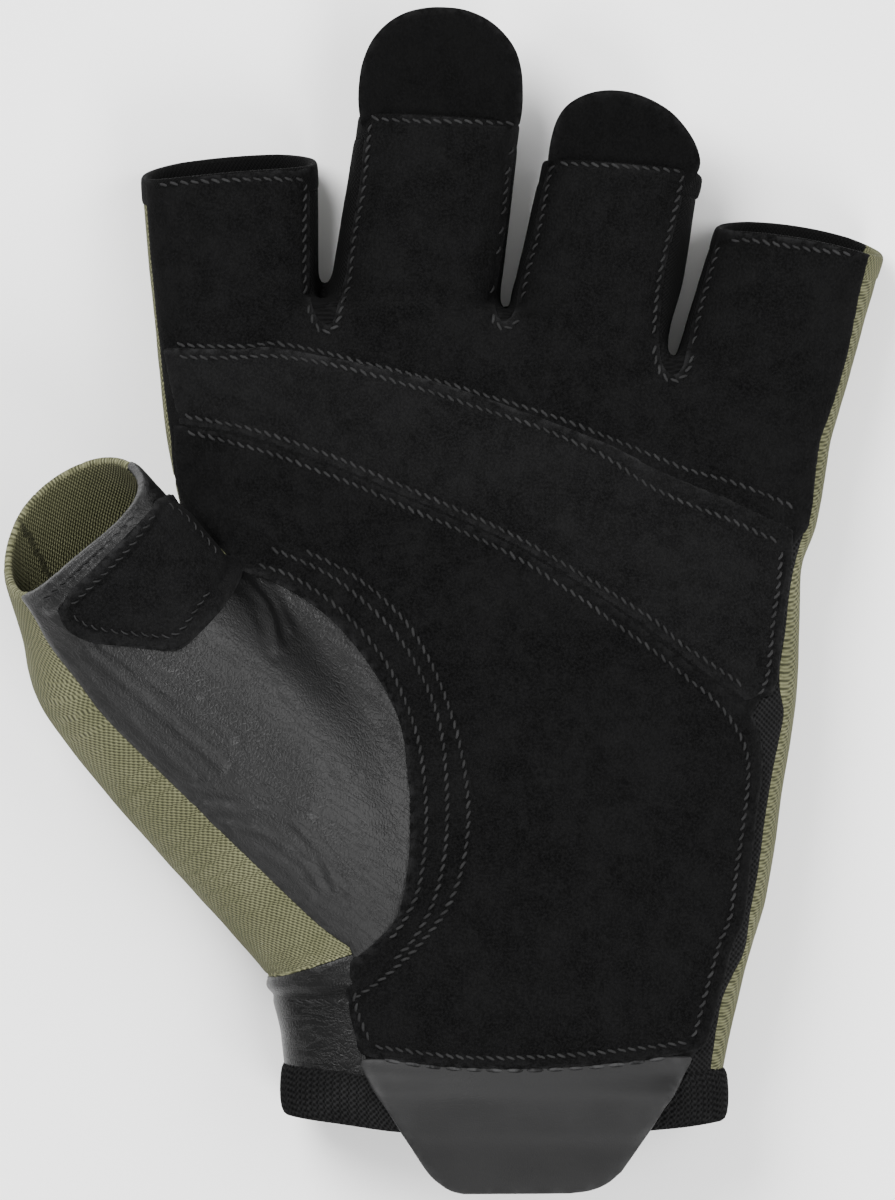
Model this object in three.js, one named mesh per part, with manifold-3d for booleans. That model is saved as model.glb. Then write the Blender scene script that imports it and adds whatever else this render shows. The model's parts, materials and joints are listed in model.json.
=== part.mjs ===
// An open-fingered weightlifting glove for the left hand, laid on its back with the palm up.
// +X is across the palm from the thumb to the little finger, +Y runs to the fingertips, +Z is up.
// The origin is the middle of the footprint, on the surface that the glove lies on.
// The hand's form is a palm, four finger tubes and a thumb tube, each lofted through rounded
// sections. Their union less the same forms one wall smaller is the hollow glove, and vertical
// outlines cut that shell into the panels that are sewn together on the real one.
import * as THREE from "three";
import { mergeVertices } from "three/addons/utils/BufferGeometryUtils.js";
import Module from "manifold-3d";

const wasm = await Module();
wasm.setup();

// Palm, in millimetres.
const PALM_WIDTH = 97; // across the knuckles
const PALM_LENGTH = 121.5; // lower edge of the cuff to the root of the middle finger
const PALM_THICKNESS = 22; // palm and back together at the middle of the hand
const PALM_SQUARENESS = 3; // 2 is an ellipse, more is a squarer section

// Fingers, in millimetres.
const INDEX_REACH = 23.6; // root of the finger to its mouth, and so for the others
const MIDDLE_REACH = 31.4;
const RING_REACH = 26.9;
const LITTLE_REACH = 24.8;
const FINGER_WIDTH = 25;
const FINGER_THICKNESS = 17.5;
const FINGER_ROOT_DEPTH = 16; // how far a finger's tube starts inside the palm
const ROOT_TAPER = 0.2; // how much narrower that hidden start is
const FINGER_SQUARENESS = 2.5;
const MOUTH_SLANT = 4.4; // how much shorter a finger is on the palm side than on the back
const MOUTH_BOW = 1.4; // how far the middle of a mouth's edge lies ahead of its ends

// Thumb, in millimetres.
const THUMB_WIDTH = 25.5; // across its mouth
const THUMB_THICKNESS = 21;
const THUMB_RISE = 33; // middle of the thumb's mouth above the surface
const THUMB_SQUARENESS = 2.3;

// Walls, seams and trims, in millimetres.
const WALL = 1.8; // one layer of knit or leather
const SEAM_GAP = 0.3; // between neighbouring panels
const THUMB_SIDE_INSET = 0.4; // the knit shows this far round the palm on the thumb's side
const LITTLE_SIDE_INSET = 1.6; // and on the little finger's side
const CROTCH_INSET = 2.4; // the palm panel ends this far before the gap between two fingers
const SEAM_HEIGHT = 11; // the side seam above the surface
const FOURCHETTE_LOW = 4; // lower edge of the strips between the fingers
const FOURCHETTE_INSET = 1.4; // these strips show beside the palm panel
const GUSSET_WIDTH = 4; // elastic strip along the little finger's side
const BINDING_WIDTH = 3.5; // hem round a finger's mouth
const PAD_THICKNESS = 2.2;
const PATCH_THICKNESS = 1.3;
const CUFF_WIDTH = 6.9; // elastic band at the wrist, along the hand
const CUFF_THICKNESS = 1.9;
const CUFF_PROUD = 0.8; // the band stands this far outside the wrist
const FLOOR_PRESS = 1.4; // how much of the round back is pressed flat by the surface

// Pull tabs, in millimetres.
const TAB_THICKNESS = 1.3;
const TAB_ROOT = 8; // sewn length inside the finger
const TAB_CLEARANCE = 0.8; // between the mouth's edge and the widest part of the tab
const MIDDLE_TAB_LENGTH = 16.5; // free length past the finger's mouth
const RING_TAB_LENGTH = 11.5;
const HEEL_TAB_WIDTH = 48; // at its root
const HEEL_TAB_LENGTH = 18.2;
const HEEL_TAB_DROP = 3; // the tip hangs this much lower than the root

// How finely the round forms are cut into facets.
const PALM_SIDES = 30;
const FINGER_SIDES = 18;
const THUMB_SIDES = 20;
const FAR = 300; // longer than anything on the glove

// Sections of the palm, wrist first. left, right: shares of PALM_WIDTH. leftAt, midAt, rightAt: how
// far up the hand the section's ends and middle lie, in shares of PALM_LENGTH. leftTop, midTop,
// rightTop: its height there, in shares of PALM_THICKNESS.
const PALM_SECTIONS = [
  { left: -0.306, right: 0.357, leftAt: 0.078, midAt: 0.055, rightAt: 0.07, leftTop: 1.1, midTop: 1.12, rightTop: 1.1 },
  { left: -0.315, right: 0.374, leftAt: 0.132, midAt: 0.13, rightAt: 0.132, leftTop: 1.14, midTop: 1.1, rightTop: 1.14 },
  { left: -0.337, right: 0.397, leftAt: 0.205, midAt: 0.205, rightAt: 0.205, leftTop: 1.2, midTop: 1.07, rightTop: 1.16 },
  { left: -0.35, right: 0.426, leftAt: 0.29, midAt: 0.29, rightAt: 0.29, leftTop: 1.22, midTop: 1.03, rightTop: 1.16 },
  { left: -0.377, right: 0.447, leftAt: 0.4, midAt: 0.4, rightAt: 0.4, leftTop: 1.18, midTop: 1.0, rightTop: 1.14 },
  { left: -0.405, right: 0.47, leftAt: 0.522, midAt: 0.522, rightAt: 0.522, leftTop: 1.12, midTop: 0.97, rightTop: 1.1 },
  { left: -0.431, right: 0.478, leftAt: 0.632, midAt: 0.632, rightAt: 0.632, leftTop: 1.05, midTop: 0.96, rightTop: 1.07 },
  { left: -0.448, right: 0.481, leftAt: 0.69, midAt: 0.69, rightAt: 0.69, leftTop: 1.02, midTop: 0.96, rightTop: 1.04 },
  { left: -0.464, right: 0.501, leftAt: 0.741, midAt: 0.741, rightAt: 0.735, leftTop: 1.0, midTop: 0.96, rightTop: 1.02 },
  { left: -0.489, right: 0.518, leftAt: 0.839, midAt: 0.84, rightAt: 0.81, leftTop: 0.97, midTop: 0.97, rightTop: 0.96 },
  { left: -0.501, right: 0.527, leftAt: 0.918, midAt: 0.93, rightAt: 0.85, leftTop: 0.94, midTop: 0.96, rightTop: 0.9 },
  { left: -0.507, right: 0.536, leftAt: 0.979, midAt: 0.995, rightAt: 0.873, leftTop: 0.88, midTop: 0.92, rightTop: 0.82 },
];
const GUSSET_SECTIONS = 8; // the gusset runs along this many of them, from the wrist up

// Fingers. across, along: the root's middle in shares of PALM_WIDTH and PALM_LENGTH. lean: degrees
// towards the little finger. skew: degrees that the mouth is turned from square, its right end
// ahead. rootWidth, mouthWidth: shares of FINGER_WIDTH. slant, bow: shares of MOUTH_SLANT and
// MOUTH_BOW. tab: length of the pull tab. tabLean: the direction it runs in.
const FINGERS = [
  { name: "index", reach: INDEX_REACH, across: -0.383, along: 0.973, lean: -2.9, skew: 2, rootWidth: 0.96, mouthWidth: 1.045, slant: 1, bow: 0.9, tab: 0, tabLean: 0 },
  { name: "middle", reach: MIDDLE_REACH, across: -0.119, along: 0.973, lean: 7.9, skew: 3, rootWidth: 1.01, mouthWidth: 0.955, slant: 0.3, bow: 0.1, tab: MIDDLE_TAB_LENGTH, tabLean: 2 },
  { name: "ring", reach: RING_REACH, across: 0.151, along: 0.949, lean: 10.8, skew: 4, rootWidth: 1.0, mouthWidth: 0.925, slant: 0.3, bow: 0.1, tab: RING_TAB_LENGTH, tabLean: -2 },
  { name: "little", reach: LITTLE_REACH, across: 0.403, along: 0.888, lean: 14.9, skew: 5, rootWidth: 1.03, mouthWidth: 0.98, slant: 0.8, bow: 1, tab: 0, tabLean: 0 },
];
const FINGER_STEPS = 4; // sections from a finger's root to its mouth

// Sections of the thumb, mouth first. across, along: the middle in shares of PALM_WIDTH and
// PALM_LENGTH. turn: degrees from +X of the line across it. width, thick, rise: shares of
// THUMB_WIDTH, THUMB_THICKNESS and THUMB_RISE.
const THUMB_SECTIONS = [
  { across: -0.637, along: 0.75, turn: 38, width: 1.0, thick: 1.08, rise: 1.0 },
  { across: -0.583, along: 0.671, turn: 37, width: 1.2, thick: 1.06, rise: 0.81 },
  { across: -0.528, along: 0.595, turn: 33, width: 1.37, thick: 1.19, rise: 0.67 },
  { across: -0.411, along: 0.496, turn: 34, width: 1.5, thick: 1.33, rise: 0.53 },
  { across: -0.297, along: 0.382, turn: 34, width: 1.44, thick: 1.33, rise: 0.45 },
  { across: -0.219, along: 0.257, turn: 30, width: 1.1, thick: 1.22, rise: 0.4 },
  { across: -0.192, along: 0.18, turn: 23, width: 0.86, thick: 1.05, rise: 0.38 },
];
const THUMB_SEAM_DROP = 0.12; // share of THUMB_THICKNESS that the leather reaches below the thumb's middle

// Outlines seen from above, each point [across, along] in shares of PALM_WIDTH and PALM_LENGTH.
const THENAR_CURVE = [
  [-0.38, 0.68], [-0.286, 0.659], [-0.209, 0.61], [-0.148, 0.534], [-0.118, 0.45],
  [-0.115, 0.363], [-0.136, 0.29], [-0.171, 0.241], [-0.206, 0.22],
];
const KNIT_EDGE_OF_THUMB = [
  [-0.316, 0.302], [-0.415, 0.376], [-0.499, 0.449], [-0.576, 0.522], [-0.629, 0.583], [-0.682, 0.637],
];
const BEYOND_THUMB = [[-0.8, 0.7], [-0.66, 0.9], [-0.47, 0.84]];
const THUMB_BACK_SEAM = [[-0.206, 0.22], [-0.217, 0.241], [-0.27, 0.351], [-0.324, 0.473], [-0.362, 0.595], [-0.38, 0.683], [-0.484, 0.802]];
const BESIDE_THUMB = [[-0.66, 0.9], [-0.9, 0.7], [-0.8, 0.4], [-0.42, 0.16], [-0.34, 0.19], [-0.301, 0.195]];
const THUMB_PATCH = [
  [-0.648, 0.636], [-0.505, 0.768], [-0.4, 0.71], [-0.372, 0.674], [-0.4, 0.644], [-0.472, 0.594], [-0.588, 0.603],
];
const UPPER_SEAM = [
  [-0.6, 0.956], [-0.501, 0.956], [-0.391, 0.95], [-0.33, 0.952], [-0.241, 0.94], [-0.143, 0.924], [-0.047, 0.904],
  [0.057, 0.873], [0.172, 0.839], [0.238, 0.813], [0.305, 0.79], [0.371, 0.769], [0.455, 0.742],
];
const KNUCKLE_PAD_SIDE = [[0.459, 0.707], [0.455, 0.665], [0.447, 0.623], [0.438, 0.549], [0.429, 0.519]];
const LOWER_SEAM = [
  [0.401, 0.519], [0.348, 0.547], [0.291, 0.58], [0.238, 0.614], [0.172, 0.651], [0.105, 0.684], [0.057, 0.707],
  [-0.073, 0.755], [-0.134, 0.775], [-0.21, 0.802], [-0.287, 0.824], [-0.363, 0.845], [-0.43, 0.857], [-0.493, 0.866], [-0.6, 0.866],
];
const HEEL_PAD_SIDE = [
  [0.411, 0.48], [0.415, 0.44], [0.403, 0.361], [0.388, 0.261], [0.36, 0.2], [0.337, 0.127], [0.315, 0.086],
];
const HEEL_PAD_FOOT = [[-0.178, 0.086], [-0.198, 0.14], [-0.2, 0.17]];
const HEEL_PAD_WEB = [[-0.38, 0.69], [-0.43, 0.74], [-0.6, 0.83]];
const WRIST_LEATHER = [[-0.5, 0.15], [-0.34, 0.186], [-0.3, 0.19], [-0.206, 0.215], [-0.197, 0.17], [-0.185, 0.1], [-0.185, 0], [-0.5, 0]];

// A point of the palm's plan from its shares.
const plan = (across, along) => new THREE.Vector2(across * PALM_WIDTH, along * PALM_LENGTH);
const outline = (...tables) => tables.flat().map(([across, along]) => plan(across, along));

// A closed three.js geometry as a solid that can be joined and cut.
function solid(geometry) {
  const bare = geometry.index ? geometry.toNonIndexed() : geometry.clone();
  bare.deleteAttribute("normal");
  bare.deleteAttribute("uv");
  const merged = mergeVertices(bare, 1e-4);
  return new wasm.Manifold(
    new wasm.Mesh({
      numProp: 3,
      vertProperties: merged.attributes.position.array,
      triVerts: new Uint32Array(merged.index.array),
    }),
  );
}

// The loft through rings of equal point counts, closed by a flat fan at each end.
function loft(rings) {
  const sides = rings[0].length;
  const points = rings.flat();
  const faces = [];
  for (let r = 0; r + 1 < rings.length; r++)
    for (let s = 0; s < sides; s++) {
      const a = r * sides + s;
      const b = r * sides + ((s + 1) % sides);
      faces.push(a, b, b + sides, a, b + sides, a + sides);
    }
  for (const [r, facing] of [[0, 1], [rings.length - 1, 0]]) {
    const middle = new THREE.Vector3();
    rings[r].forEach((p) => middle.addScaledVector(p, 1 / sides));
    points.push(middle);
    for (let s = 0; s < sides; s++) {
      const a = r * sides + s;
      const b = r * sides + ((s + 1) % sides);
      faces.push(points.length - 1, ...(facing ? [b, a] : [a, b]));
    }
  }
  const geometry = new THREE.BufferGeometry().setFromPoints(points);
  geometry.setIndex(faces);
  const made = solid(geometry);
  if (made.volume() > 0) return made;
  for (let f = 0; f < faces.length; f += 3) [faces[f], faces[f + 1]] = [faces[f + 1], faces[f]];
  geometry.setIndex(faces);
  return solid(geometry);
}

// A vertical prism over an outline, between two heights.
function prism(points, low = -FAR, high = FAR) {
  const geometry = new THREE.ExtrudeGeometry(new THREE.Shape(points), { depth: high - low, bevelEnabled: false });
  return solid(geometry.translate(0, 0, low));
}

// An outline moved outwards (or inwards, when far is negative) by the distance far.
function grown(points, far) {
  const turning = Math.sign(THREE.ShapeUtils.area(points)) || 1;
  return points.map((point, i) => {
    const before = points[(i + points.length - 1) % points.length];
    const after = points[(i + 1) % points.length];
    const into = point.clone().sub(before).normalize();
    const out = after.clone().sub(point).normalize();
    const along = into.clone().add(out).normalize();
    const stretch = Math.min(1 / Math.max(into.dot(along), 0.3), 2);
    return new THREE.Vector2(along.y, -along.x).multiplyScalar(turning * far * stretch).add(point);
  });
}

const union = (list) => wasm.Manifold.union(list);

// A rounded unit section: u runs across and w runs up, each from -1 to 1.
function roundSection(sides, squareness) {
  return Array.from({ length: sides }, (_, s) => {
    const angle = (2 * Math.PI * s) / sides;
    const bulge = (value) => Math.sign(value) * Math.abs(value) ** (2 / squareness);
    return { u: bulge(Math.cos(angle)), w: bulge(Math.sin(angle)) };
  });
}

// One section of a form that lies on the surface. ends: its two end points in plan. bow: how far
// its middle lies ahead. tops: heights at the left, middle and right. inset: how far inside the
// glove's outer face it lies, negative for outside.
function lyingRing(ends, bow, tops, sides, squareness, inset) {
  const [left, right] = ends;
  const middle = left.clone().add(right).multiplyScalar(0.5);
  const half = right.clone().sub(left).multiplyScalar(0.5);
  const ahead = new THREE.Vector2(-half.y, half.x).normalize();
  const waist = tops[1] / 2;
  return roundSection(sides, squareness).map(({ u, w }) => {
    const top = tops[1] + ((tops[2] - tops[0]) / 2) * u + ((tops[2] + tops[0]) / 2 - tops[1]) * u * u - inset;
    const height = w > 0 ? waist + w * (top - waist) : waist + w * (waist + FLOOR_PRESS - inset);
    const across = half.clone().multiplyScalar(u * (1 - inset / half.length()));
    const at = middle.clone().add(across).addScaledVector(ahead, bow * (1 - u * u));
    return new THREE.Vector3(at.x, at.y, Math.max(height, inset, 0));
  });
}

// The palm and wrist, inset from the glove's outer face. stretch lengthens it past both ends.
function palmForm(inset, stretch) {
  const rings = PALM_SECTIONS.map((row) => {
    const ends = [plan(row.left, row.leftAt), plan(row.right, row.rightAt)];
    const bow = (row.midAt - (row.leftAt + row.rightAt) / 2) * PALM_LENGTH;
    const tops = [row.leftTop, row.midTop, row.rightTop].map((share) => share * PALM_THICKNESS);
    return lyingRing(ends, bow, tops, PALM_SIDES, PALM_SQUARENESS, inset);
  });
  const moved = (ring, far) => ring.map((p) => p.clone().setY(p.y + far));
  rings[rings.length - 1] = moved(rings[rings.length - 1], -Math.max(inset, 0));
  if (stretch) rings.unshift(moved(rings[0], -stretch));
  return loft(rings);
}

// Where a finger starts and points, in plan.
function fingerLine(finger) {
  const lean = THREE.MathUtils.degToRad(finger.lean);
  const ahead = new THREE.Vector2(Math.sin(lean), Math.cos(lean));
  const across = new THREE.Vector2(ahead.y, -ahead.x);
  const root = plan(finger.across, finger.along);
  const place = (far, side) => root.clone().addScaledVector(ahead, far).addScaledVector(across, side);
  const halfWidth = (far) => {
    const share = THREE.MathUtils.clamp(far / finger.reach, 0, 1);
    const buried = THREE.MathUtils.clamp(-far / FINGER_ROOT_DEPTH, 0, 1);
    const width = THREE.MathUtils.lerp(finger.rootWidth, finger.mouthWidth, share);
    return (FINGER_WIDTH / 2) * width * (1 - ROOT_TAPER * buried ** 2);
  };
  return { place, halfWidth };
}

// One finger's tube, from inside the palm to its mouth, or past it by stretch. Its last section
// slants, because the finger is cut shorter on the palm side.
function fingerForm(finger, inset, stretch) {
  const { place, halfWidth } = fingerLine(finger);
  const rings = [];
  for (let step = 0; step <= FINGER_STEPS; step++) {
    const share = step / FINGER_STEPS;
    const far = THREE.MathUtils.lerp(-FINGER_ROOT_DEPTH, finger.reach + stretch, share);
    const half = halfWidth(far);
    const rootTop = Math.min(FINGER_THICKNESS * 1.08, PALM_THICKNESS * 0.92);
    const top = THREE.MathUtils.lerp(rootTop, FINGER_THICKNESS, share);
    const turned = step === FINGER_STEPS ? half * Math.tan(THREE.MathUtils.degToRad(finger.skew)) : 0;
    const bow = step === FINGER_STEPS ? finger.bow * MOUTH_BOW : 0;
    const ends = [place(far - turned, -half), place(far + turned, half)];
    const ring = lyingRing(ends, bow, [top * 0.97, top, top * 0.97], FINGER_SIDES, FINGER_SQUARENESS, inset);
    if (step === FINGER_STEPS && !stretch)
      ring.forEach((p) => (p.y -= MOUTH_SLANT * finger.slant * (p.z / FINGER_THICKNESS - 0.5)));
    rings.push(ring);
  }
  return loft(rings);
}

// The sections of the thumb as frames: a middle, an axis across and one up.
const thumbFrames = (() => {
  const middles = THUMB_SECTIONS.map((row) => {
    const at = plan(row.across, row.along);
    return new THREE.Vector3(at.x, at.y, row.rise * THUMB_RISE);
  });
  return THUMB_SECTIONS.map((row, i) => {
    const turn = THREE.MathUtils.degToRad(row.turn);
    const across = new THREE.Vector3(Math.cos(turn), Math.sin(turn), 0);
    const outward = middles[Math.max(i - 1, 0)].clone().sub(middles[Math.min(i + 1, middles.length - 1)]);
    const up = across.clone().cross(outward).normalize();
    return {
      middle: middles[i], across, up, outward: outward.normalize(),
      halfWidth: (row.width * THUMB_WIDTH) / 2, halfThick: (row.thick * THUMB_THICKNESS) / 2,
    };
  });
})();

// The thumb's tube, from inside the wrist to its mouth, or past it by stretch.
function thumbForm(inset, stretch) {
  const rings = thumbFrames.map((frame) =>
    roundSection(THUMB_SIDES, THUMB_SQUARENESS).map(({ u, w }) => {
      const point = frame.middle
        .clone()
        .addScaledVector(frame.across, u * (frame.halfWidth - inset))
        .addScaledVector(frame.up, w * (frame.halfThick - inset));
      return point.setZ(Math.max(point.z, inset, 0));
    }),
  );
  if (stretch) rings.unshift(rings[0].map((p) => p.clone().addScaledVector(thumbFrames[0].outward, stretch)));
  return loft(rings);
}

// The space above the thumb's side seams, following the thumb; drop lowers it a little more.
function aboveThumbSeam(drop) {
  const corners = [[-1, 0], [1, 0], [1, 1], [-1, 1]];
  const rings = thumbFrames.map((frame) =>
    corners.map(([side, high]) =>
      frame.middle
        .clone()
        .addScaledVector(frame.across, side * 3 * THUMB_WIDTH)
        .addScaledVector(frame.up, high ? 3 * THUMB_THICKNESS : -THUMB_SEAM_DROP * THUMB_THICKNESS - drop),
    ),
  );
  rings.unshift(rings[0].map((p) => p.clone().addScaledVector(thumbFrames[0].outward, 2 * THUMB_WIDTH)));
  return loft(rings);
}

// The palm with its fingers, and the whole hand, inset from the glove's outer face.
const palmAndFingers = (inset, stretch) =>
  union([palmForm(inset, stretch), ...FINGERS.map((finger) => fingerForm(finger, inset, stretch))]);
const handForm = (inset, stretch) => palmAndFingers(inset, stretch).add(thumbForm(inset, stretch));

const outer = handForm(0, 0);
const inner = handForm(WALL, 3 * WALL);
const shell = outer.subtract(inner);

// Cutters of the panels. Each takes how far it is grown, so that neighbours keep SEAM_GAP apart.
const half = SEAM_GAP / 2;
const palmEdge = (side, inset, from = 0) =>
  PALM_SECTIONS.slice(from).map((row) => {
    const point = side < 0 ? plan(row.left, row.leftAt) : plan(row.right, row.rightAt);
    return point.setX(point.x - side * inset);
  });
const gussetEdge = (inset) => {
  const low = palmEdge(1, inset + GUSSET_WIDTH).slice(0, GUSSET_SECTIONS);
  const high = palmEdge(1, inset, GUSSET_SECTIONS);
  return [...low, ...high];
};
const pastWrist = (points) => points.map((p, i) => (i === 0 ? p.clone().setY(-FAR / 4) : p));
// The line between the palm panel and the gaps of the fingers, from the little finger's side.
const crotchLine = [0.8, 0.5, 0, -0.5, -0.8].map((u) => {
  const row = PALM_SECTIONS.at(-1);
  const across = THREE.MathUtils.lerp(row.left, row.right, (u + 1) / 2);
  const ends = THREE.MathUtils.lerp(row.leftAt, row.rightAt, (u + 1) / 2);
  const bow = (row.midAt - (row.leftAt + row.rightAt) / 2) * (1 - u * u);
  const point = plan(across, ends + bow);
  return point.setY(point.y - CROTCH_INSET);
});
function palmCutter(grow) {
  const left = pastWrist(palmEdge(-1, THUMB_SIDE_INSET));
  const right = pastWrist(gussetEdge(LITTLE_SIDE_INSET));
  const parts = [prism(grown([...left, ...crotchLine.toReversed(), ...right.reverse()], grow), SEAM_HEIGHT - grow, FAR)];
  for (const [number, finger] of FINGERS.entries()) {
    const { place, halfWidth } = fingerLine(finger);
    const far = finger.reach + FINGER_WIDTH;
    const left = number === 0 ? THUMB_SIDE_INSET : FOURCHETTE_INSET;
    const right = number === FINGERS.length - 1 ? LITTLE_SIDE_INSET : FOURCHETTE_INSET;
    const side = (at, sign, inset) => place(at, sign * (halfWidth(Math.max(at, 0)) - inset));
    const root = -FINGER_ROOT_DEPTH;
    const corners = [side(root, -1, left), side(root, 1, right), side(far, 1, right), side(far, -1, left)];
    parts.push(prism(grown(corners, grow), FINGER_THICKNESS / 2 - grow, FAR));
  }
  return union(parts);
}
function fourchetteCutter(first, grow) {
  const [a, b] = [FINGERS[first], FINGERS[first + 1]].map(fingerLine);
  const deep = -FINGER_ROOT_DEPTH / 2;
  const corners = [a.place(deep, 0), b.place(deep, 0), b.place(FAR / 4, 0), a.place(FAR / 4, 0)];
  return prism(grown(corners, grow), FOURCHETTE_LOW - grow, FAR);
}
function bindingCutter(finger, grow) {
  const { place, halfWidth } = fingerLine(finger);
  const from = finger.reach - BINDING_WIDTH;
  const wide = halfWidth(from) + FOURCHETTE_INSET;
  const corners = [place(from, -wide), place(from, wide), place(finger.reach + FINGER_WIDTH, wide), place(finger.reach + FINGER_WIDTH, -wide)];
  return prism(grown(corners, grow));
}
const leatherCutter = (grow) =>
  prism(grown(outline(THENAR_CURVE, KNIT_EDGE_OF_THUMB, BEYOND_THUMB), grow)).intersect(aboveThumbSeam(grow));
const thumbCutter = (grow) => prism(grown(outline(THUMB_BACK_SEAM, BESIDE_THUMB), grow));
const wristCutter = (grow) => prism(grown(outline(WRIST_LEATHER), grow), FOURCHETTE_LOW - grow, FAR);
function gussetCutter(grow) {
  const outside = pastWrist(palmEdge(1, LITTLE_SIDE_INSET).slice(0, GUSSET_SECTIONS));
  const inside = pastWrist(palmEdge(1, LITTLE_SIDE_INSET + GUSSET_WIDTH).slice(0, GUSSET_SECTIONS));
  return prism(grown([...outside, ...inside.reverse()], grow), SEAM_HEIGHT - grow, FAR);
}

// Every panel of the shell is what its own cutter takes from what the panels before it left.
let rest = shell;
const panels = {};
function take(name, cutter, ...kept) {
  const [inside, outside] = [cutter(-half), cutter(half)];
  panels[name] = kept.reduce((made, other) => made.subtract(other(half)), rest.intersect(inside));
  rest = rest.subtract(kept.reduce((made, other) => made.subtract(other(-half)), outside));
}
for (const finger of FINGERS) take(finger.name + "_binding", (grow) => bindingCutter(finger, grow));
take("thumb_leather", leatherCutter);
take("thumb_knit", thumbCutter);
take("wrist_leather", wristCutter);
take("palm_suede", palmCutter);
take("side_gusset", gussetCutter);
for (let gap = 0; gap + 1 < FINGERS.length; gap++) take("fourchette_" + (gap + 1), (grow) => fourchetteCutter(gap, grow));
panels.back_knit = rest;

// Only the largest body of a panel is kept: cutting leaves slivers where outlines cross.
const largest = (made) => made.decompose().sort((a, b) => b.volume() - a.volume())[0];

// A pad or patch that lies on a form, thick from the seam gap up, over an outline.
function overlay(form, points, thickness, low) {
  const skin = form(-SEAM_GAP - thickness, 0).subtract(form(-SEAM_GAP, 3 * WALL));
  return skin.intersect(prism(grown(points, -half), low, FAR));
}
const wholePalm = prism([...palmEdge(-1, 0), ...palmEdge(1, 0).reverse()]);
const knucklePadOutline = outline(UPPER_SEAM, KNUCKLE_PAD_SIDE, LOWER_SEAM);
const heelPadOutline = outline(
  LOWER_SEAM.toReversed(), HEEL_PAD_SIDE, HEEL_PAD_FOOT, THENAR_CURVE.toReversed(), HEEL_PAD_WEB,
);
panels.knuckle_pad = overlay(palmAndFingers, knucklePadOutline, PAD_THICKNESS, SEAM_HEIGHT).intersect(wholePalm);
panels.heel_pad = overlay(palmAndFingers, heelPadOutline, PAD_THICKNESS, SEAM_HEIGHT)
  .intersect(wholePalm)
  .subtract(thumbForm(-SEAM_GAP, 0));
panels.thumb_patch = overlay(thumbForm, outline(THUMB_PATCH), PATCH_THICKNESS, 0)
  .intersect(aboveThumbSeam(0))
  .subtract(palmForm(-2 * SEAM_GAP - PAD_THICKNESS, 0));

// The elastic band at the wrist: a ring a little outside the glove's last section.
{
  const row = PALM_SECTIONS[0];
  const bow = (row.midAt - (row.leftAt + row.rightAt) / 2) * PALM_LENGTH;
  const tops = [row.leftTop, row.midTop, row.rightTop].map((share) => share * PALM_THICKNESS);
  const ringAt = (below, inset) => {
    const ends = [plan(row.left, row.leftAt), plan(row.right, row.rightAt)];
    ends.forEach((end) => (end.y -= SEAM_GAP + below));
    return lyingRing(ends, bow, tops, PALM_SIDES, PALM_SQUARENESS, inset);
  };
  const outside = [0, CUFF_WIDTH / 2, CUFF_WIDTH].map((below, i) => ringAt(below, i === 1 ? -CUFF_PROUD : -CUFF_PROUD / 2));
  const inside = [-CUFF_WIDTH, 2 * CUFF_WIDTH].map((below) => ringAt(below, CUFF_THICKNESS - CUFF_PROUD));
  panels.cuff_band = loft(outside).subtract(loft(inside));
}

// A tongue of leather, lofted through rows of a plan place, a half width, the height of its top in
// the middle, and how far its edges hang below that.
function tongue(place, rows) {
  const slices = [-1, -0.75, -0.3, 0.3, 0.75, 1];
  const rings = rows.map(({ far, half, height, hang }) => {
    const face = (lift) =>
      slices.map((side) => {
        const at = place(far, side * half);
        return new THREE.Vector3(at.x, at.y, height - hang * side * side - lift);
      });
    return [...face(0), ...face(TAB_THICKNESS).reverse()];
  });
  return loft(rings);
}

// A finger's pull tab starts under the palm panel and runs out of the mouth, where it is as wide
// as the finger. Rows: share of its length, share of its full width.
const FINGER_TAB_ROWS = [
  { along: 0.05, wide: 1 }, { along: 0.28, wide: 1 }, { along: 0.55, wide: 0.93 },
  { along: 0.76, wide: 0.75 }, { along: 0.9, wide: 0.53 }, { along: 0.98, wide: 0.28 }, { along: 1, wide: 0.12 },
];
for (const finger of FINGERS.filter((f) => f.tab)) {
  const { place, halfWidth } = fingerLine(finger);
  const mouth = finger.reach + TAB_CLEARANCE - (MOUTH_SLANT * finger.slant) / 3;
  const turn = THREE.MathUtils.degToRad(finger.lean - finger.tabLean);
  const skew = Math.tan(THREE.MathUtils.degToRad(finger.skew));
  const placeTab = (far, side) => {
    const ahead = far < 0 ? mouth + far : mouth + far * Math.cos(turn) + side * skew * (1 - far / finger.tab);
    return place(ahead, far < 0 ? side : side * Math.cos(turn) - far * Math.sin(turn));
  };
  const full = halfWidth(finger.reach) * 1.01;
  const height = FINGER_THICKNESS - WALL - 2 * SEAM_GAP;
  const inside = [-TAB_ROOT, 0].map((far) => ({ far, half: full * 0.54, height, hang: 1.2 }));
  const free = FINGER_TAB_ROWS.map(({ along, wide }) => ({
    far: along * finger.tab,
    half: full * wide,
    height: height - 0.1 * finger.tab * along * along,
    hang: 2.4 * wide * wide * (1 - along / 2),
  }));
  panels[finger.name + "_tab"] = tongue(placeTab, [...inside, ...free]);
}

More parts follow.
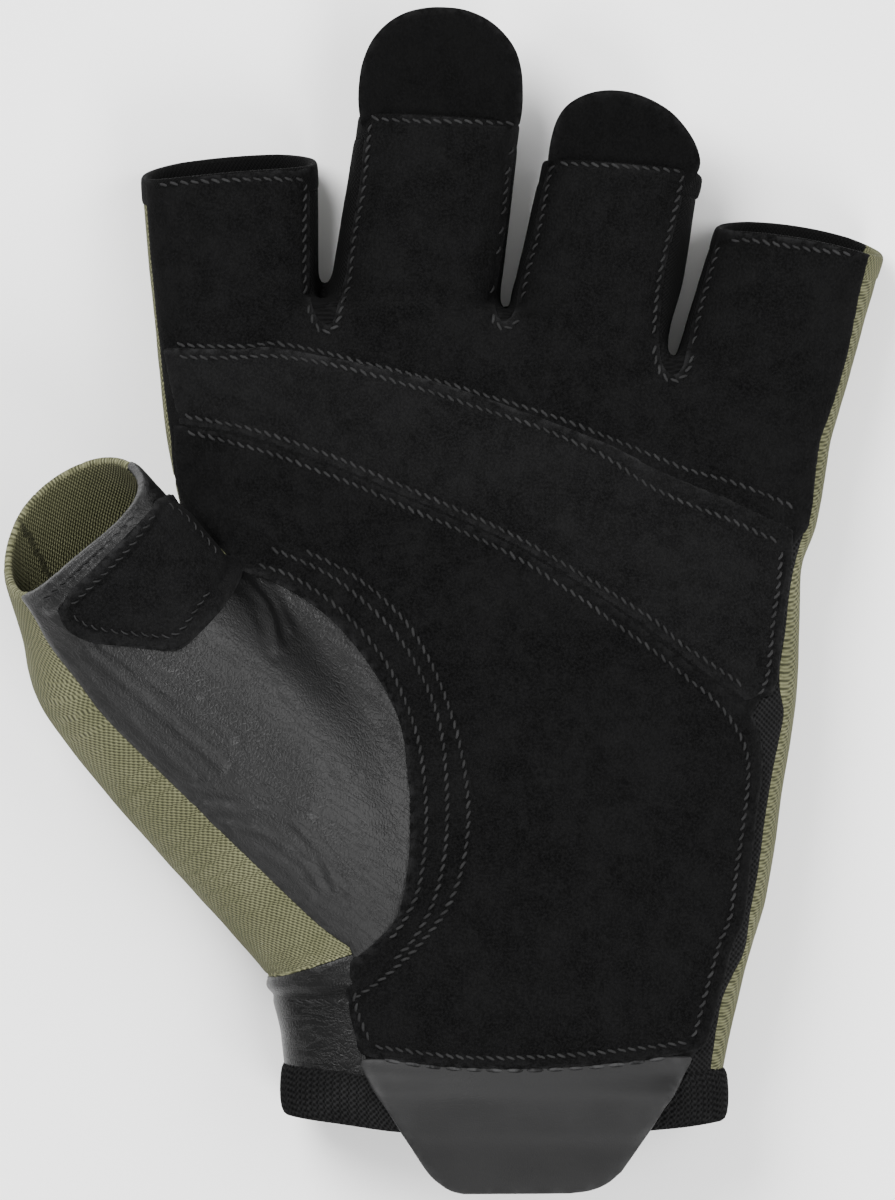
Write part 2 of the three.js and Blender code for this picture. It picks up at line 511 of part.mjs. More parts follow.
// The tab at the heel of the hand is sewn below the heel pad and lies over the cuff. Rows: share
// of its length, share of its width, share of its drop.
const HEEL_TAB_ROWS = [
  { along: 0, wide: 1, drop: 0 }, { along: 0.35, wide: 0.83, drop: 0 }, { along: 0.62, wide: 0.72, drop: 0 },
  { along: 0.81, wide: 0.62, drop: 0.45 }, { along: 0.93, wide: 0.52, drop: 0.8 }, { along: 1, wide: 0.4, drop: 1 },
];
{
  const middle = plan((HEEL_PAD_FOOT[0][0] + HEEL_PAD_SIDE.at(-1)[0]) / 2 - 0.008, HEEL_PAD_FOOT[0][1]);
  const top = PALM_SECTIONS[0].midTop * PALM_THICKNESS + CUFF_PROUD + SEAM_GAP + TAB_THICKNESS;
  const place = (far, side) => new THREE.Vector2(middle.x + side, middle.y - SEAM_GAP - far);
  const rows = HEEL_TAB_ROWS.map(({ along, wide, drop }) => ({
    far: along * HEEL_TAB_LENGTH,
    half: (wide * HEEL_TAB_WIDTH) / 2,
    height: top - drop * HEEL_TAB_DROP,
    hang: 0,
  }));
  panels.heel_tab = tongue(place, rows);
}

// Materials.
const FINISHES = {
  olive_knit: { color: 0x7d8252, roughness: 0.9 },
  black_suede: { color: 0x1a1a1b, roughness: 0.95 },
  grain_leather: { color: 0x2f2f31, roughness: 0.55 },
  black_knit: { color: 0x141415, roughness: 0.9 },
  elastic: { color: 0x121213, roughness: 0.85 },
  tab_leather: { color: 0x38383a, roughness: 0.6 },
};
const finishOf = (name) => {
  if (/_knit$/.test(name)) return "olive_knit";
  if (/fourchette|binding/.test(name)) return "black_knit";
  if (/cuff|gusset/.test(name)) return "elastic";
  if (/leather/.test(name)) return "grain_leather";
  if (name === "heel_tab") return "tab_leather";
  return "black_suede";
};

// The glove: one named mesh for each panel, with the footprint's middle at the origin.
const glove = new THREE.Group();
const box = new THREE.Box3();
for (const [name, made] of Object.entries(panels)) {
  const { vertProperties, triVerts, numProp } = largest(made).getMesh();
  const geometry = new THREE.BufferGeometry();
  const positions = new Float32Array((vertProperties.length / numProp) * 3);
  for (let v = 0; v * numProp < vertProperties.length; v++)
    positions.set(vertProperties.subarray(v * numProp, v * numProp + 3), v * 3);
  geometry.setAttribute("position", new THREE.BufferAttribute(positions, 3));
  geometry.setIndex(new THREE.BufferAttribute(triVerts, 1));
  const finish = FINISHES[finishOf(name)];
  const mesh = new THREE.Mesh(geometry, new THREE.MeshStandardMaterial({ ...finish, metalness: 0 }));
  mesh.name = name;
  glove.add(mesh);
  box.expandByObject(mesh);
}
const middle = box.getCenter(new THREE.Vector3());
glove.position.set(-middle.x, -middle.y, -box.min.z);

export default glove;
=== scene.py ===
# %% [markdown]
# # An open-fingered weightlifting glove
#
# The real thing is a left glove lying on its back, photographed from straight above. Its palm
# is black suede in padded panels, the thumb's root is thin smooth leather, and the back, the
# sides and the thumb's outer side are an olive knit. This lesson sews it in Blender around the
# solids of the CAD part, which it uses for place and size only.
#
# Everything is worked out in millimetres and turned into metres where a mesh is made. +X runs
# from the thumb to the little finger, +Y to the fingertips and +Z up to the camera.

import json
import math
from functools import partial

import bmesh
import bpy
import numpy as np
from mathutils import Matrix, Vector, noise
from mathutils.bvhtree import BVHTree
from mathutils.geometry import delaunay_2d_cdt
from mathutils.kdtree import KDTree

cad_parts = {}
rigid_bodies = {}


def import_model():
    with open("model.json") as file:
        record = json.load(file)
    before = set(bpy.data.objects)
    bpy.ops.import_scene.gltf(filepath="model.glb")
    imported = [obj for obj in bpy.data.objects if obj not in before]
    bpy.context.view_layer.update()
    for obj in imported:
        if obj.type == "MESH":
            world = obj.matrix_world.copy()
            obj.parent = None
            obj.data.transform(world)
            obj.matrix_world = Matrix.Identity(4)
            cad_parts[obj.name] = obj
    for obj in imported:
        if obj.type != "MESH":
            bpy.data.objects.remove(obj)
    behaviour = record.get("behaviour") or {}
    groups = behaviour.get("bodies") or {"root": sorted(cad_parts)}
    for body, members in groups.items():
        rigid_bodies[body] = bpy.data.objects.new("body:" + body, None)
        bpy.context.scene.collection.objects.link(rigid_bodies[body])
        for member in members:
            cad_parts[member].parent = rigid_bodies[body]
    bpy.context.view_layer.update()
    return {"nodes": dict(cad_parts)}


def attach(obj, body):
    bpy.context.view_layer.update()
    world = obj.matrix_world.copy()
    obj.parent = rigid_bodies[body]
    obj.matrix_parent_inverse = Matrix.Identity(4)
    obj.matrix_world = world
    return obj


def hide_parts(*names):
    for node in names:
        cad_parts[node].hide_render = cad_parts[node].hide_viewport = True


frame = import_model()
MM = 0.001
print("CAD nodes:", len(frame["nodes"]))

# %% [markdown]
# ## The hand's form
#
# A glove has one soft skin, so all its panels have to lie on one smooth form. It could be
# sculpted, but then the panels would drift away from the CAD solids. Here the form is built from
# the same tables as the solids, with many more sections: a palm, four finger tubes and a thumb
# tube, each a loft through rounded rings.

# %% Sizes and section tables, the same as the solids'
PALM_WIDTH, PALM_LENGTH, PALM_THICKNESS = 97.0, 121.5, 22.0
MIDDLE_OF_BOX = np.array([7.54, -79.16])
FINGER_WIDTH, FINGER_THICKNESS, FINGER_ROOT_DEPTH = 25.0, 17.5, 16.0
MOUTH_SLANT, MOUTH_BOW = 4.4, 1.4
THUMB_SLANT, THUMB_BOW = 0.6, 3.2
THUMB_WIDTH, THUMB_THICKNESS, THUMB_RISE = 25.5, 21.0, 33.0
FLOOR_PRESS = 1.4
WALL = 1.5

# left, right, leftAt, midAt, rightAt, leftTop, midTop, rightTop
PALM_ROWS = np.array([
    (-0.306, 0.357, 0.078, 0.055, 0.070, 1.10, 1.12, 1.10),
    (-0.315, 0.374, 0.132, 0.130, 0.132, 1.14, 1.10, 1.14),
    (-0.337, 0.397, 0.205, 0.205, 0.205, 1.20, 1.07, 1.16),
    (-0.350, 0.426, 0.290, 0.290, 0.290, 1.22, 1.03, 1.16),
    (-0.377, 0.447, 0.400, 0.400, 0.400, 1.18, 1.00, 1.14),
    (-0.405, 0.470, 0.522, 0.522, 0.522, 1.12, 0.97, 1.10),
    (-0.431, 0.478, 0.632, 0.632, 0.632, 1.05, 0.96, 1.07),
    (-0.448, 0.481, 0.690, 0.690, 0.690, 1.02, 0.96, 1.04),
    (-0.464, 0.501, 0.741, 0.741, 0.735, 1.00, 0.96, 1.02),
    (-0.489, 0.518, 0.839, 0.840, 0.810, 0.97, 0.97, 0.96),
    (-0.501, 0.527, 0.918, 0.930, 0.850, 0.94, 0.96, 0.90),
    (-0.507, 0.536, 0.979, 0.995, 0.873, 0.88, 0.92, 0.82),
])
# reach, across, along, lean, skew, root width, mouth width, slant, bow
FINGERS = {
    "index": (24.0, -0.383, 0.973, -2.9, 2, 0.960, 1.045, 0.65, 0.5),
    "middle": (31.4, -0.119, 0.973, 7.9, 4.5, 1.010, 0.955, -0.25, 0.1),
    "ring": (27.6, 0.151, 0.949, 10.8, 6, 1.000, 0.925, -0.2, 0.1),
    "little": (24.8, 0.403, 0.888, 17.0, 7, 1.030, 0.990, 0.5, 0.9),
}
ROOT_HEIGHTS = {"index": 19.7, "middle": 20.3, "ring": 19.9, "little": 18.7}
# across, along, turn, width, thick, rise
THUMB_ROWS = np.array([
    (-0.634, 0.747, 38, 0.97, 1.02, 1.00),
    (-0.580, 0.669, 37, 1.17, 1.04, 0.81),
    (-0.528, 0.595, 33, 1.37, 1.19, 0.67),
    (-0.411, 0.496, 34, 1.50, 1.33, 0.53),
    (-0.297, 0.382, 34, 1.44, 1.33, 0.45),
    (-0.219, 0.257, 30, 1.10, 1.22, 0.40),
    (-0.192, 0.180, 23, 0.86, 1.05, 0.38),
])


def ease(value, low, high):
    """0 below low and 1 above high, with a smooth step between."""
    share = np.clip((value - low) / (high - low), 0, 1)
    return share * share * (3 - 2 * share)


def plan(across, along):
    """A place seen from above, from its shares of the palm."""
    return np.array([across * PALM_WIDTH, along * PALM_LENGTH]) + MIDDLE_OF_BOX


def between_rows(rows, steps):
    """A smooth run of rows through a table's rows."""
    slopes = np.gradient(rows, axis=0)
    out = []
    for i in range(len(rows) - 1):
        for t in np.arange(steps) / steps:
            a, b = 2 * t**3 - 3 * t**2 + 1, t**3 - 2 * t**2 + t
            c, d = 3 * t**2 - 2 * t**3, t**3 - t**2
            out.append(a * rows[i] + b * slopes[i] + c * rows[i + 1] + d * slopes[i + 1])
    return np.array(out + [rows[-1]])


def round_section(sides, square):
    """Points round a section from -1 to 1 that is squarer for a larger number."""
    angle = 2 * np.pi * np.arange(sides) / sides
    bulge = lambda v: np.sign(v) * np.abs(v) ** (2 / square)
    return bulge(np.cos(angle)), bulge(np.sin(angle))


def lying_ring(left, right, bow, tops, sides, square, grow=0.0):
    """One section of a form that lies on the surface, grown outwards by some millimetres."""
    u, w = round_section(sides, square)
    half = (right - left) / 2
    length = np.linalg.norm(half)
    ahead = np.array([-half[1], half[0]]) / length
    waist = tops[1] / 2
    top = tops[1] + (tops[2] - tops[0]) / 2 * u + ((tops[2] + tops[0]) / 2 - tops[1]) * u * u + grow
    height = np.where(w > 0, waist + w * (top - waist), waist + w * (waist + FLOOR_PRESS + grow))
    at = (left + right) / 2 + np.outer(u * (1 + grow / length), half) + np.outer(bow * (1 - u * u), ahead)
    return np.column_stack([at, np.maximum(height, 0)])


def palm_ends(row):
    """The left and right end of a palm section, and how far its middle bows ahead of them."""
    bow = (row[3] - (row[2] + row[4]) / 2) * PALM_LENGTH
    return plan(row[0], row[2]), plan(row[1], row[4]), bow


def palm_ring(row):
    return lying_ring(*palm_ends(row), row[5:8] * PALM_THICKNESS, 96, 3.0)


def finger_line(name):
    """Where a finger starts, the way it points, and half its width at a distance from its root."""
    reach, across, along, lean, skew, root, mouth, slant, bow = FINGERS[name]
    ahead = np.array([math.sin(math.radians(lean)), math.cos(math.radians(lean))])
    side = np.array([ahead[1], -ahead[0]])
    start = plan(across, along)

    def half_width(far):
        share, buried = np.clip(far / reach, 0, 1), np.clip(-far / FINGER_ROOT_DEPTH, 0, 1)
        return FINGER_WIDTH / 2 * (root + (mouth - root) * share) * (1 - 0.2 * buried**2)

    return lambda far, aside: start + far * ahead + aside * side, half_width


def finger_ring(name, far):
    """One section of a finger's tube, at a distance from its root."""
    place, half_width = finger_line(name)
    down = ease(far + 6, 0, FINGERS[name][0] + 2)
    top = ROOT_HEIGHTS[name] + (FINGER_THICKNESS - ROOT_HEIGHTS[name]) * down
    half = half_width(far)
    return lying_ring(place(far, -half), place(far, half), 0.0, (top * 0.97, top, top * 0.97), 72, 2.5)


def thumb_frames(steps=6):
    """Places along the thumb, from its mouth inwards, each with its axes and half sizes."""
    rows = between_rows(THUMB_ROWS, steps)
    middles = np.array([[*plan(r[0], r[1]), r[5] * THUMB_RISE] for r in rows])
    runs = -np.gradient(middles, axis=0)
    frames = []
    for row, middle, run in zip(rows, middles, runs):
        turn = math.radians(row[2])
        across = np.array([math.cos(turn), math.sin(turn), 0])
        outward = run / np.linalg.norm(run)
        up = np.cross(across, outward)
        up /= np.linalg.norm(up)
        halves = row[3] * THUMB_WIDTH / 2, row[4] * THUMB_THICKNESS / 2
        frames.append((middle, across, up, outward, *halves))
    return frames


def thumb_ring(thumb_frame):
    middle, across, up, _, half_width, half_thick = thumb_frame
    u, w = round_section(80, 2.3)
    ring = middle + np.outer(u * half_width, across) + np.outer(w * half_thick, up)
    ring[:, 2] = np.maximum(ring[:, 2], 0)
    return ring


def loft(rings):
    """Points and faces of the closed skin through rings of equal point counts."""
    sides = len(rings[0])
    points = np.vstack([*rings, rings[0].mean(0), rings[-1].mean(0)])
    faces, last = [], len(rings) * sides
    for r in range(len(rings) - 1):
        for s in range(sides):
            a, b = r * sides + s, r * sides + (s + 1) % sides
            faces.append((a, b, b + sides, a + sides))
    for s in range(sides):
        faces.append((last, (s + 1) % sides, s))
        faces.append((last + 1, last - sides + s, last - sides + (s + 1) % sides))
    return points, faces


STRETCH = 14.0  # the tubes run this far past their mouths, which are cut open later
WEB_HEIGHT = 9.5  # the palm's end closes in round this height
ROUND_WEB = ((0.4, 0.96), (0.9, 0.86), (1.3, 0.68), (1.5, 0.45))  # ahead of the palm's end, share of height
palm_rings = [palm_ring(row) for row in between_rows(PALM_ROWS, 5)]
for ahead, share in ROUND_WEB:
    ring = palm_ring(PALM_ROWS[-1]) + [0, ahead, 0]
    ring[:, 2] = WEB_HEIGHT + (ring[:, 2] - WEB_HEIGHT) * share
    palm_rings.append(ring)
lofts = [loft([palm_rings[0] - [0, STRETCH, 0], *palm_rings])]
for name, finger in FINGERS.items():
    fars = np.linspace(-FINGER_ROOT_DEPTH, finger[0] + STRETCH, 24)
    lofts.append(loft([finger_ring(name, far) for far in fars]))
thumb_line = thumb_frames()
thumb_rings = [thumb_ring(f) for f in thumb_line]
lofts.append(loft([thumb_rings[0] + STRETCH * thumb_line[0][3], *thumb_rings]))
print("lofts:", len(lofts), "with", sum(len(p) for p, _ in lofts), "points")

# %% [markdown]
# ## One blended skin
#
# Six tubes pushed into each other meet in hard creases, which cloth never does. A voxel remesh
# joins them into one closed solid, and smoothing rounds the creases between palm, fingers and
# thumb. A fine one carries the palm's panels, and a coarser one the plain knit.

# %% Helpers that turn points and faces into Blender objects
scene = bpy.context.scene


def placed(name, data):
    """A new object, put in the scene."""
    made = bpy.data.objects.new(name, data)
    scene.collection.objects.link(made)
    return made


def mesh_object(name, points, faces, scale=1.0):
    mesh = bpy.data.meshes.new(name)
    mesh.from_pydata((np.asarray(points, float) * scale).tolist(), [], [list(f) for f in faces])
    mesh.update()
    return placed(name, mesh)


def final_mesh(made):
    """The object's mesh with its modifiers applied, as a new mesh."""
    view = bpy.context.evaluated_depsgraph_get()
    view.update()
    return bpy.data.meshes.new_from_object(made.evaluated_get(view))


def discard(made):
    mesh = made.data
    bpy.data.objects.remove(made)
    if mesh.users == 0:
        bpy.data.meshes.remove(mesh)


def read_vectors(items, what="co"):
    """A table of one vector for each item, such as the places of a mesh's vertices."""
    values = np.empty(len(items) * 3)
    items.foreach_get(what, values)
    return values.reshape(-1, 3)


def kd_tree(points):
    """A search tree that finds the nearest of some points."""
    tree = KDTree(len(points))
    for i, point in enumerate(points):
        tree.insert(point, i)
    tree.balance()
    return tree


def add_mesh(made, points, faces):
    """Joins more points and faces to lists that are being gathered."""
    first = sum(len(p) for p in made[0])
    made[0].append(np.asarray(points, float))
    made[1].extend([tuple(first + i for i in f) for f in faces])


# %% Outlines and prisms
FAR_UP, FAR_DOWN = 90.0, -20.0


def prism(outline, low=FAR_DOWN, high=FAR_UP, shear=(0.0, 0.0), middle=0.0):
    """A closed prism over an outline. Its sides lean by shear for each millimetre of height."""
    outline = np.asarray(outline, float)
    x, y = outline[:, 0], outline[:, 1]
    if np.sum(x * np.roll(y, -1) - np.roll(x, -1) * y) < 0:
        outline = outline[::-1]
    count = len(outline)
    rings = []
    for height in (low, high):
        moved = outline + np.outer(np.full(count, height - middle), shear)
        rings.append(np.column_stack([moved, np.full(count, height)]))
    faces = [tuple(reversed(range(count))), tuple(range(count, 2 * count))]
    faces += [(i, (i + 1) % count, count + (i + 1) % count, count + i) for i in range(count)]
    return np.vstack(rings), faces


def outward_facing(points, faces):
    """The same closed solid with its faces turned outwards."""
    points = np.asarray(points, float)
    volume = 0.0
    for f in faces:
        for i in range(1, len(f) - 1):
            volume += points[f[0]] @ np.cross(points[f[i]], points[f[i + 1]])
    return points, (faces if volume > 0 else [tuple(reversed(f)) for f in faces])


SKIN_MARKS = [bpy.data.materials.new(name) for name in ("kept_skin", "cut_face")]


def cutter(*solids):
    """One object for booleans, whose cut faces can be told from the skin."""
    gathered = ([], [])
    for points, faces in solids:
        add_mesh(gathered, points, faces)
    made = mesh_object("cutter", np.vstack(gathered[0]), gathered[1])
    for mark in SKIN_MARKS:
        made.data.materials.append(mark)
    for polygon in made.data.polygons:
        polygon.material_index = 1
    return made


def smooth_line(points, step=0.5):
    """A smooth curve through measured points, with a point every step millimetres."""
    points = np.asarray(points, float)
    rows = between_rows(points, 8) if len(points) > 2 else points
    far = np.concatenate([[0], np.cumsum(np.linalg.norm(np.diff(rows, axis=0), axis=1))])
    count = max(int(round(far[-1] / step)), 1)
    at = np.linspace(0, far[-1], count + 1)
    return np.column_stack([np.interp(at, far, rows[:, k]) for k in range(rows.shape[1])])


def beside(line, aside):
    """A line moved to its left by some millimetres."""
    run = np.gradient(line, axis=0)
    run /= np.linalg.norm(run, axis=1)[:, None]
    return line + aside * np.column_stack([-run[:, 1], run[:, 0]])


# %% Blend the forms
CROTCH_GAPS = (  # the open places between the fingers, which go down to the webs
    [
        (-17.5, 42.0), (-16.2, 42.0), (-15.7, 48.0), (-14.8, 51.5), (-13.6, 60.0), (-17.6, 60.0),
        (-17.7, 48.0),
    ],
    [
        (9.4, 42.1), (10.7, 42.1), (11.7, 48.0), (13.0, 54.0), (14.4, 60.0), (11.6, 60.0), (10.2, 51.5),
        (9.4, 46.0),
    ],
    [
        (33.9, 35.0), (35.7, 35.0), (37.0, 40.0), (38.6, 45.0), (39.8, 51.0), (37.4, 51.0), (36.0, 45.0),
        (34.3, 39.5),
    ],
)
web_cutter = cutter(*[prism(gap) for gap in CROTCH_GAPS])

# The thumb's tube meets the palm in a hollow that the real leather spans.
HOLLOW = np.array([
    (-26.5, 1.2), (-18.8, -2.6), (-13.8, -9.0), (-10.8, -16.0), (-9.3, -23.7), (-10.5, -33.0),
    (-14.0, -41.0), (-18.0, -46.0),
])


def fill_crease(mesh, reach=9.5):
    """Evens the form round the hollow, so that the leather runs on smoothly."""
    points = read_vectors(mesh.vertices)
    line = smooth_line(HOLLOW, 0.8)
    seen = points[:, :2]
    in_box = np.all((seen > line.min(0) - reach) & (seen < line.max(0) + reach), axis=1)
    near = np.where(in_box & (points[:, 2] > 8))[0]
    away = np.sqrt(((seen[near, None] - line[None]) ** 2).sum(-1).min(1))
    weight = 1 - ease(away, 4.0, reach)
    number = np.full(len(points), -1)
    number[near] = np.arange(len(near))
    edges = np.empty(len(mesh.edges) * 2, np.int32)
    mesh.edges.foreach_get("vertices", edges)
    edges = number[edges.reshape(-1, 2)]
    edges = edges[(edges >= 0).all(axis=1)]
    first, second = np.concatenate([edges, edges[:, ::-1]]).T
    count = np.maximum(np.bincount(first, minlength=len(near)), 1)[:, None]
    spot = points[near].copy()
    spacing = np.linalg.norm(spot[edges[:, 0]] - spot[edges[:, 1]], axis=1).mean()
    for _ in range(int((5.0 / spacing) ** 2 * 2)):
        total = np.column_stack([np.bincount(first, spot[second, k], len(near)) for k in range(3)])
        spot += 0.6 * weight[:, None] * (total / count - spot)
    points[near] = spot
    mesh.vertices.foreach_set("co", points.ravel())
    mesh.update()


def blended(name, voxel, rounds):
    """All the lofts as one smooth closed form."""
    gathered = ([], [])
    for points, faces in lofts:
        add_mesh(gathered, points, faces)
    rough = mesh_object(name + "_rough", np.vstack(gathered[0]), gathered[1])
    join = rough.modifiers.new("join", "REMESH")
    cut = rough.modifiers.new("open the webs", "BOOLEAN")
    cut.operation, cut.solver, cut.object = "DIFFERENCE", "MANIFOLD", web_cutter
    even_out = rough.modifiers.new("even out", "REMESH")
    for remesh in (join, even_out):
        remesh.mode, remesh.voxel_size = "VOXEL", voxel
    smooth = rough.modifiers.new("round", "SMOOTH")
    smooth.factor, smooth.iterations = 0.5, rounds
    mesh = final_mesh(rough)
    discard(rough)
    mesh.materials.clear()
    for mark in SKIN_MARKS:
        mesh.materials.append(mark)
    mesh.polygons.foreach_set("material_index", np.zeros(len(mesh.polygons), np.int32))
    fill_crease(mesh)
    print(name, len(mesh.polygons), "faces")
    return placed(name, mesh)


# %% [markdown]
# ## Cutting panels out of the skin
#
# A panel is what an outline, seen from above, cuts out of the skin, as a pattern cutter would
# mark it. Each outline becomes a tall prism, a boolean keeps what lies inside it, and the flat
# faces that the prism leaves are thrown away, so a clean open patch of skin remains.

# %% Booleans
def boolean(form, *steps):
    """form cut by (operation, cutter object) steps, as a new object."""
    made = placed("boolean", form.data)
    for operation, tool in steps:
        cut = made.modifiers.new(operation, "BOOLEAN")
        cut.operation, cut.solver, cut.object = operation, "MANIFOLD", tool
    mesh = final_mesh(made)
    bpy.data.objects.remove(made)
    return placed("boolean", mesh)


# %% [markdown]
# The mouths come first. Each finger is cut off by a block whose edge bows a little and leans,
# because a finger is shorter on the palm side, and the thumb and the wrist get blocks too.

# %% Cut the mouths
def mouth_block(name, behind=0.0):
    """What a finger's tube has past its mouth, or past a line behind the mouth."""
    reach, _, _, _, skew, _, _, slant, bow = FINGERS[name]
    place, half_width = finger_line(name)
    half = half_width(reach) + 0.9
    u = np.linspace(-1, 1, 13)
    fars = reach - behind + u * half * math.tan(math.radians(skew)) + bow * MOUTH_BOW * (1 - u * u)
    line = [place(far, side * half) for far, side in zip(fars, u)]
    outline = [*line, place(reach + 2 * STRETCH, half), place(reach + 2 * STRETCH, -half)]
    shear = (0.0, -MOUTH_SLANT * slant / FINGER_THICKNESS)
    return prism(outline, -5, 40, shear, FINGER_THICKNESS / 2)


def thumb_block():
    """What the thumb's tube has past its mouth."""
    middle, across, up, outward, half, thick = thumb_line[0]
    u = np.linspace(-1.5, 1.5, 17)
    line = [(half * a, thumb_bow(a)) for a in u]
    outline = [*line, (1.5 * half, 2.5 * STRETCH), (-1.5 * half, 2.5 * STRETCH)]
    points, faces = prism(outline, -24, 24, (0.0, -THUMB_SLANT / thick))
    return outward_facing(middle + points @ np.array([across, outward, up]), faces)


def thumb_bow(share):
    """How far the thumb's mouth reaches at a share of its half width."""
    return -THUMB_BOW * np.minimum(share * share, 1.6) * np.where(np.asarray(share) > 0, 0.3, 1.0)


def wrist_block():
    """What the form has below the wrist."""
    left, right, bow = palm_ends(PALM_ROWS[0])
    u = np.linspace(-1.25, 1.25, 15)
    line = (left + right) / 2 + np.outer(u, (right - left) / 2)
    line[:, 1] += bow * (1 - np.minimum(u * u, 1))
    return prism([*line, line[-1] - [0, 60], line[0] - [0, 60]])


fine_form = blended("fine_form", 0.48, 20)
plain_form = blended("plain_form", 0.85, 7)
mouth_blocks = cutter(*[mouth_block(name) for name in FINGERS], thumb_block(), wrist_block())
fine_open = boolean(fine_form, ("DIFFERENCE", mouth_blocks))
plain_open = boolean(plain_form, ("DIFFERENCE", mouth_blocks))
print("opened forms:", len(fine_open.data.polygons), "and", len(plain_open.data.polygons), "faces")

# %% [markdown]
# ## From a patch of skin to a sewn panel
#
# A real panel is a sheet of some thickness with rounded cut edges, and it swells between its
# seams. Each patch therefore gets a top layer, lifted by a height that depends on how far a
# point is from the panel's edge and from its rows of stitches, a bottom layer, and a small
# rounded rim that joins the two. Two attributes are kept for the materials: how near the edge
# a point is, and a flat cloth coordinate that the weave follows.

# %% Patches
def skin_patch(form, *steps, merge=0.12, smallest=60):
    """The open patch of a form that is left after boolean steps."""
    cut = boolean(form, *steps)
    bm = bmesh.new()
    bm.from_mesh(cut.data)
    discard(cut)
    bmesh.ops.delete(bm, geom=[f for f in bm.faces if f.material_index == 1], context="FACES")
    bmesh.ops.remove_doubles(bm, verts=bm.verts, dist=merge)
    bmesh.ops.dissolve_degenerate(bm, edges=bm.edges, dist=merge / 4)
    bmesh.ops.triangulate(bm, faces=[f for f in bm.faces if len(f.verts) > 4])
    drop_crumbs(bm, smallest)
    return bm


def drop_crumbs(bm, smallest):
    """Removes islands of fewer faces than a real panel has."""
    left, crumbs = set(bm.faces), []
    while left:
        island, queue = set(), [left.pop()]
        while queue:
            face = queue.pop()
            island.add(face)
            for edge in face.edges:
                for other in edge.link_faces:
                    if other in left:
                        left.discard(other)
                        queue.append(other)
        if len(island) < smallest:
            crumbs.extend(island)
    bmesh.ops.delete(bm, geom=crumbs, context="FACES")
    bmesh.ops.delete(bm, geom=[v for v in bm.verts if not v.link_faces], context="VERTS")


def near_line(*lines):
    """A function that says how far points are from a set of lines, seen from above."""
    spots = np.vstack([smooth_line(line, 0.2) for line in lines])
    tree = kd_tree([(x, y, 0) for x, y in spots])
    return lambda points: np.array([tree.find((p[0], p[1], 0))[2] for p in points])


def uneven(points, size, seed=0.0):
    """Smooth chance values between about -1 and 1 that change over some millimetres."""
    return np.array([noise.noise(Vector(p) / size + Vector((seed, 2.7 * seed, 1.3))) for p in points])


def form_normals(form):
    """A function that says which way a form's skin faces near given points."""
    normals = read_vectors(form.data.vertices, "normal")
    tree = kd_tree([v.co for v in form.data.vertices])
    return lambda points: np.array([normals[tree.find(p)[1]] for p in points])


fine_normals, plain_normals = form_normals(fine_form), form_normals(plain_form)
print("normals of", len(fine_form.data.vertices) + len(plain_form.data.vertices), "points")


# %% Panels
def evened(values, pairs, rounds):
    """Values averaged with their neighbours along pairs of indices."""
    for _ in range(rounds):
        total, count = values.copy(), np.ones((len(values), 1))
        for here, there in (pairs.T, pairs.T[::-1]):
            np.add.at(total, here, values[there])
            np.add.at(count, here, 1)
        values = total / count
    return values


def unit(vectors):
    return vectors / np.maximum(np.linalg.norm(vectors, axis=1), 1e-9)[:, None]


ROUND_RIM = (30, 60, 90, 90, 60, 30)  # degrees, down the rounded rim from the top
FLOOR_GAP = 0.02
EDGE_FADE = 0.45  # millimetres in which the lightening at an edge, scuffing and a painted highlight, fades
